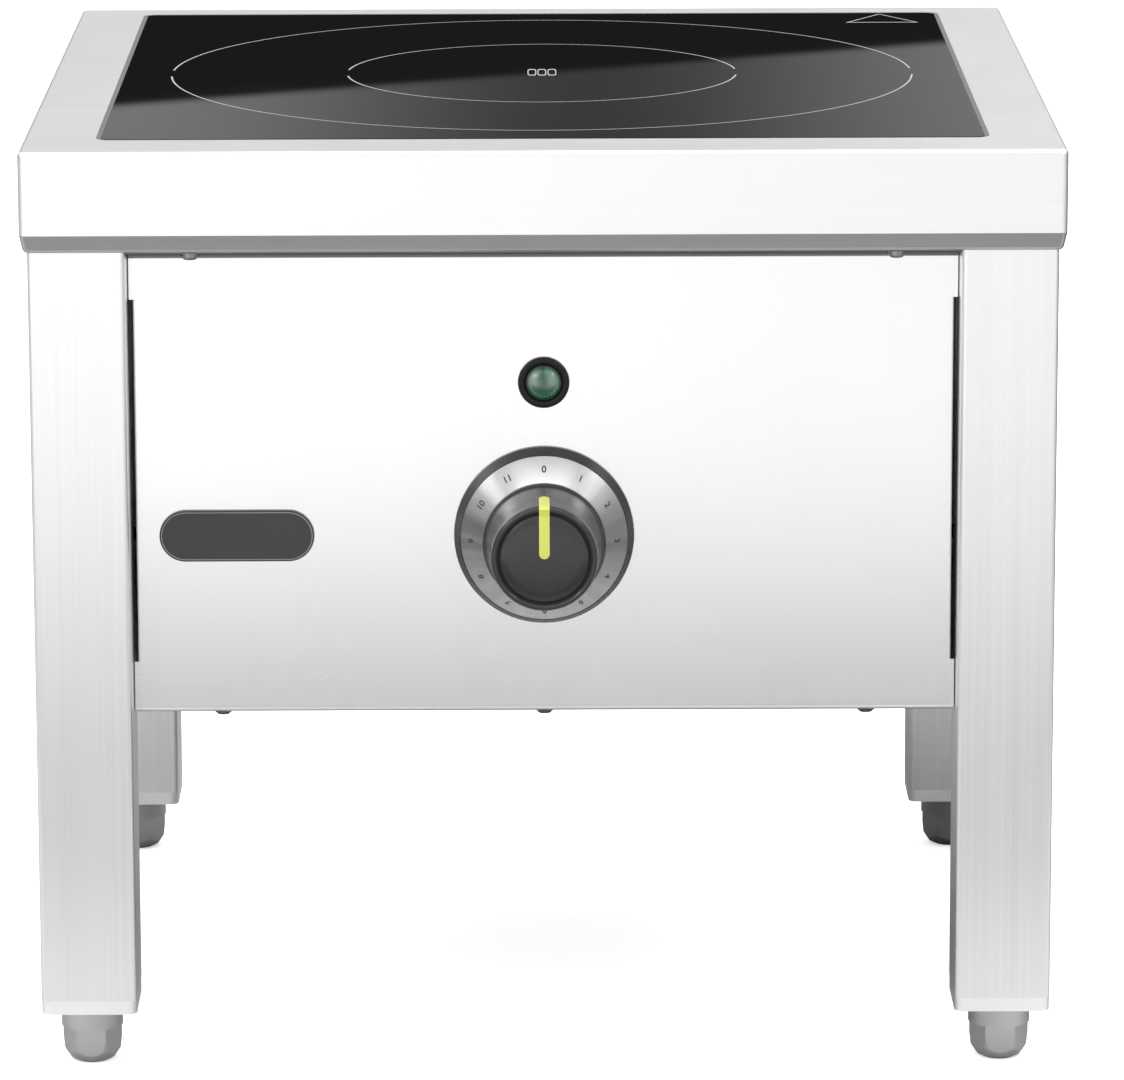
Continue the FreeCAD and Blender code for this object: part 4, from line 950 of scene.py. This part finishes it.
def bounce_paint():
    paint = Paint("floor_bounce")
    x, y, z = paint.parts_of(paint.place())
    front = paint.soft_step(-1 * y, *UNDER_BAND)
    near = paint.soft_step(-1 * y, *NEAR_BAND)
    far = paint.soft_step(-1 * y, *FAR_BAND)
    edge = paint.soft_step(-1 * y, *EDGE_BAND)
    left = 1 - paint.soft_step(x, *LEFT_BAND)
    shade = BEHIND_SHADE + UNDER_LIFT * front - NEAR_DROP * near + FAR_LIFT * far
    # The left side is painted lighter as well, standing in for the stronger light from the left.
    shade = shade + drift(left, LEFT_BEHIND) * (1 - front) + LEFT_EDGE * (left - LEFT_EDGE_EVEN) * edge
    return paint.finish(Base_Color=paint.tinted(grey(1.0), shade), Roughness=BOUNCE_ROUGH)


floor = flat_sheet("floor", 0.0, floor_paint())
floor.visible_glossy = False
floor.visible_diffuse = False
bounce = flat_sheet("floor_bounce", BOUNCE_LEVEL, bounce_paint())
bounce.visible_camera = False
print("floor sheets:", floor.name, bounce.name)

# %% [markdown]
# ## The camera
# The camera looks slightly down on the hob from a long way off through a long lens. A short
# lens close up would make the legs lean; a long one keeps upright lines nearly parallel.

# %% Camera
CAMERA_PLACE = Vector((-0.005, -2.915, 0.832))
CAMERA_DOWN = math.radians(12.5)
CAMERA_RIGHT = math.radians(0.26)
CAMERA_ROLL = math.radians(-0.15)
CAMERA_LENS = 215.6
CAMERA_SENSOR = 36
CAMERA_SEES = 200
camera_data = bpy.data.cameras.new("camera")
camera_data.lens = CAMERA_LENS
camera_data.sensor_width = CAMERA_SENSOR
camera_data.clip_end = CAMERA_SEES
camera = bpy.data.objects.new("camera", camera_data)
camera.matrix_world = (Matrix.Translation(CAMERA_PLACE) @ Matrix.Rotation(-CAMERA_RIGHT, 4, "Z")
                       @ Matrix.Rotation(math.pi / 2 - CAMERA_DOWN, 4, "X")
                       @ Matrix.Rotation(CAMERA_ROLL, 4, "Z"))
bpy.context.scene.collection.objects.link(camera)
bpy.context.scene.camera = camera
print("camera", round(CAMERA_PLACE.length, 2), "m away")

# %% [markdown]
# ## The studio's lamps
# Steel shows what it mirrors, so bare lamps would be white dots on it. Each lamp is a softbox,
# a glowing rectangle with a place, a point that it faces, a size in metres and a power in
# watts. The big one overhead lights the tray, the left front one the panel. The two small ones
# put a glint on the edges of the legs.


# %% Softboxes
def softbox(name, place, aim, size, power):
    light = bpy.data.lights.new(name, "AREA")
    light.shape = "RECTANGLE"
    light.size, light.size_y = size, size
    light.energy = power
    box = bpy.data.objects.new(name, light)
    box.location = place
    box.rotation_euler = (Vector(aim) - Vector(place)).to_track_quat("-Z", "Y").to_euler()
    box.visible_camera = False
    bpy.context.scene.collection.objects.link(box)


HOB_MIDDLE = (0, 0, 0.2)
HOB_FRONT = (0, -0.2, 0.22)
softbox("overhead", place=(0, 0.6, 3.4), aim=(0, 0.2, 0.2), size=4.5, power=75)
softbox("front_left", place=(-2.6, -3.6, 2.4), aim=HOB_MIDDLE, size=2.5, power=45)
softbox("front_right", place=(2.8, -3.4, 2.0), aim=HOB_MIDDLE, size=2.0, power=6)
softbox("back_fill", place=(1.2, 3.0, 3.3), aim=HOB_MIDDLE, size=1.2, power=14)
softbox("glint_right", place=(1.2, -0.7, 1.3), aim=HOB_FRONT, size=0.35, power=3)
softbox("glint_left", place=(-1.3, -0.7, 1.2), aim=HOB_FRONT, size=0.3, power=3)
print("softboxes:", len(bpy.data.lights))

# %% [markdown]
# ## What the glass mirrors
# At a low angle the glass mirrors the far side of the studio: a dark backdrop low down, with a
# slanting upper edge, and a dim wall above it. Real walls would do, but the world's background
# does the same with no geometry, by the direction that one looks in: how far east, north and
# up. Higher up the room is bright and plain.

# %% The room around
BACKDROP_HEIGHT = 0.1502
BACKDROP_SLANT = 0.0736
BACKDROP_EDGE = (-0.0006, 0.0006)
BACKDROP_DARK = rgb(0.014, 0.014, 0.014)
WALL_DARK, WALL_PALE = rgb(0.09, 0.09, 0.09), rgb(0.40, 0.40, 0.40)
WALL_WAVE_START = math.radians(0.5)
WALL_WAVES = 360 / 8.5
SIDE_WALL, FRONT_WALL = rgb(0.36, 0.36, 0.36), rgb(1.0, 1.0, 1.0)
CEILING = rgb(1.1, 1.1, 1.1)
NORTH_BAND, SIDE_BAND, SIDE_SHARE = (0.0, 0.6), (0.45, 0.95), 0.7
LOW_BAND, CEILING_BAND = (0.17, 0.34), (0.2, 0.6)
world = bpy.data.worlds.new("studio")
world.use_nodes = True
bpy.context.scene.world = world
room = Paint("studio", world.node_tree)
east, north, up = room.parts_of(room.node("TexCoord", out=COORD_GENERATED))
above = room.soft_step(up - (BACKDROP_HEIGHT * north - BACKDROP_SLANT * east), *BACKDROP_EDGE)
turned_by = room.sum("ARCTAN2", east, north)
wave = 0.5 - 0.5 * room.sum("COSINE", (turned_by - WALL_WAVE_START) * WALL_WAVES)
far_side = room.mix(above, BACKDROP_DARK, room.mix(wave, WALL_DARK, WALL_PALE))
behind = room.soft_step(north, *NORTH_BAND)
low_down = 1 - room.soft_step(up, *LOW_BAND)
sideways = room.soft_step(abs(east), *SIDE_BAND)
plain_wall = room.mix(sideways * SIDE_SHARE, FRONT_WALL, SIDE_WALL)
ceiling = room.mix(room.soft_step(up, *CEILING_BAND), plain_wall, CEILING)
backdrop = world.node_tree.nodes["Background"]
room.join(room.mix(behind * low_down * (up > 0), ceiling, far_side), backdrop.inputs["Color"])
backdrop.inputs["Strength"].default_value = 1.0
print("room nodes:", len(world.node_tree.nodes))

# %% [markdown]
# ## Plain tones
# Blender's usual view softens bright tones, which would turn the white studio grey. The plain
# one shows each tone as it is.

# %% Plain tones, so that white stays white
bpy.context.scene.view_settings.view_transform = "Standard"
print("tones:", bpy.context.scene.view_settings.view_transform)
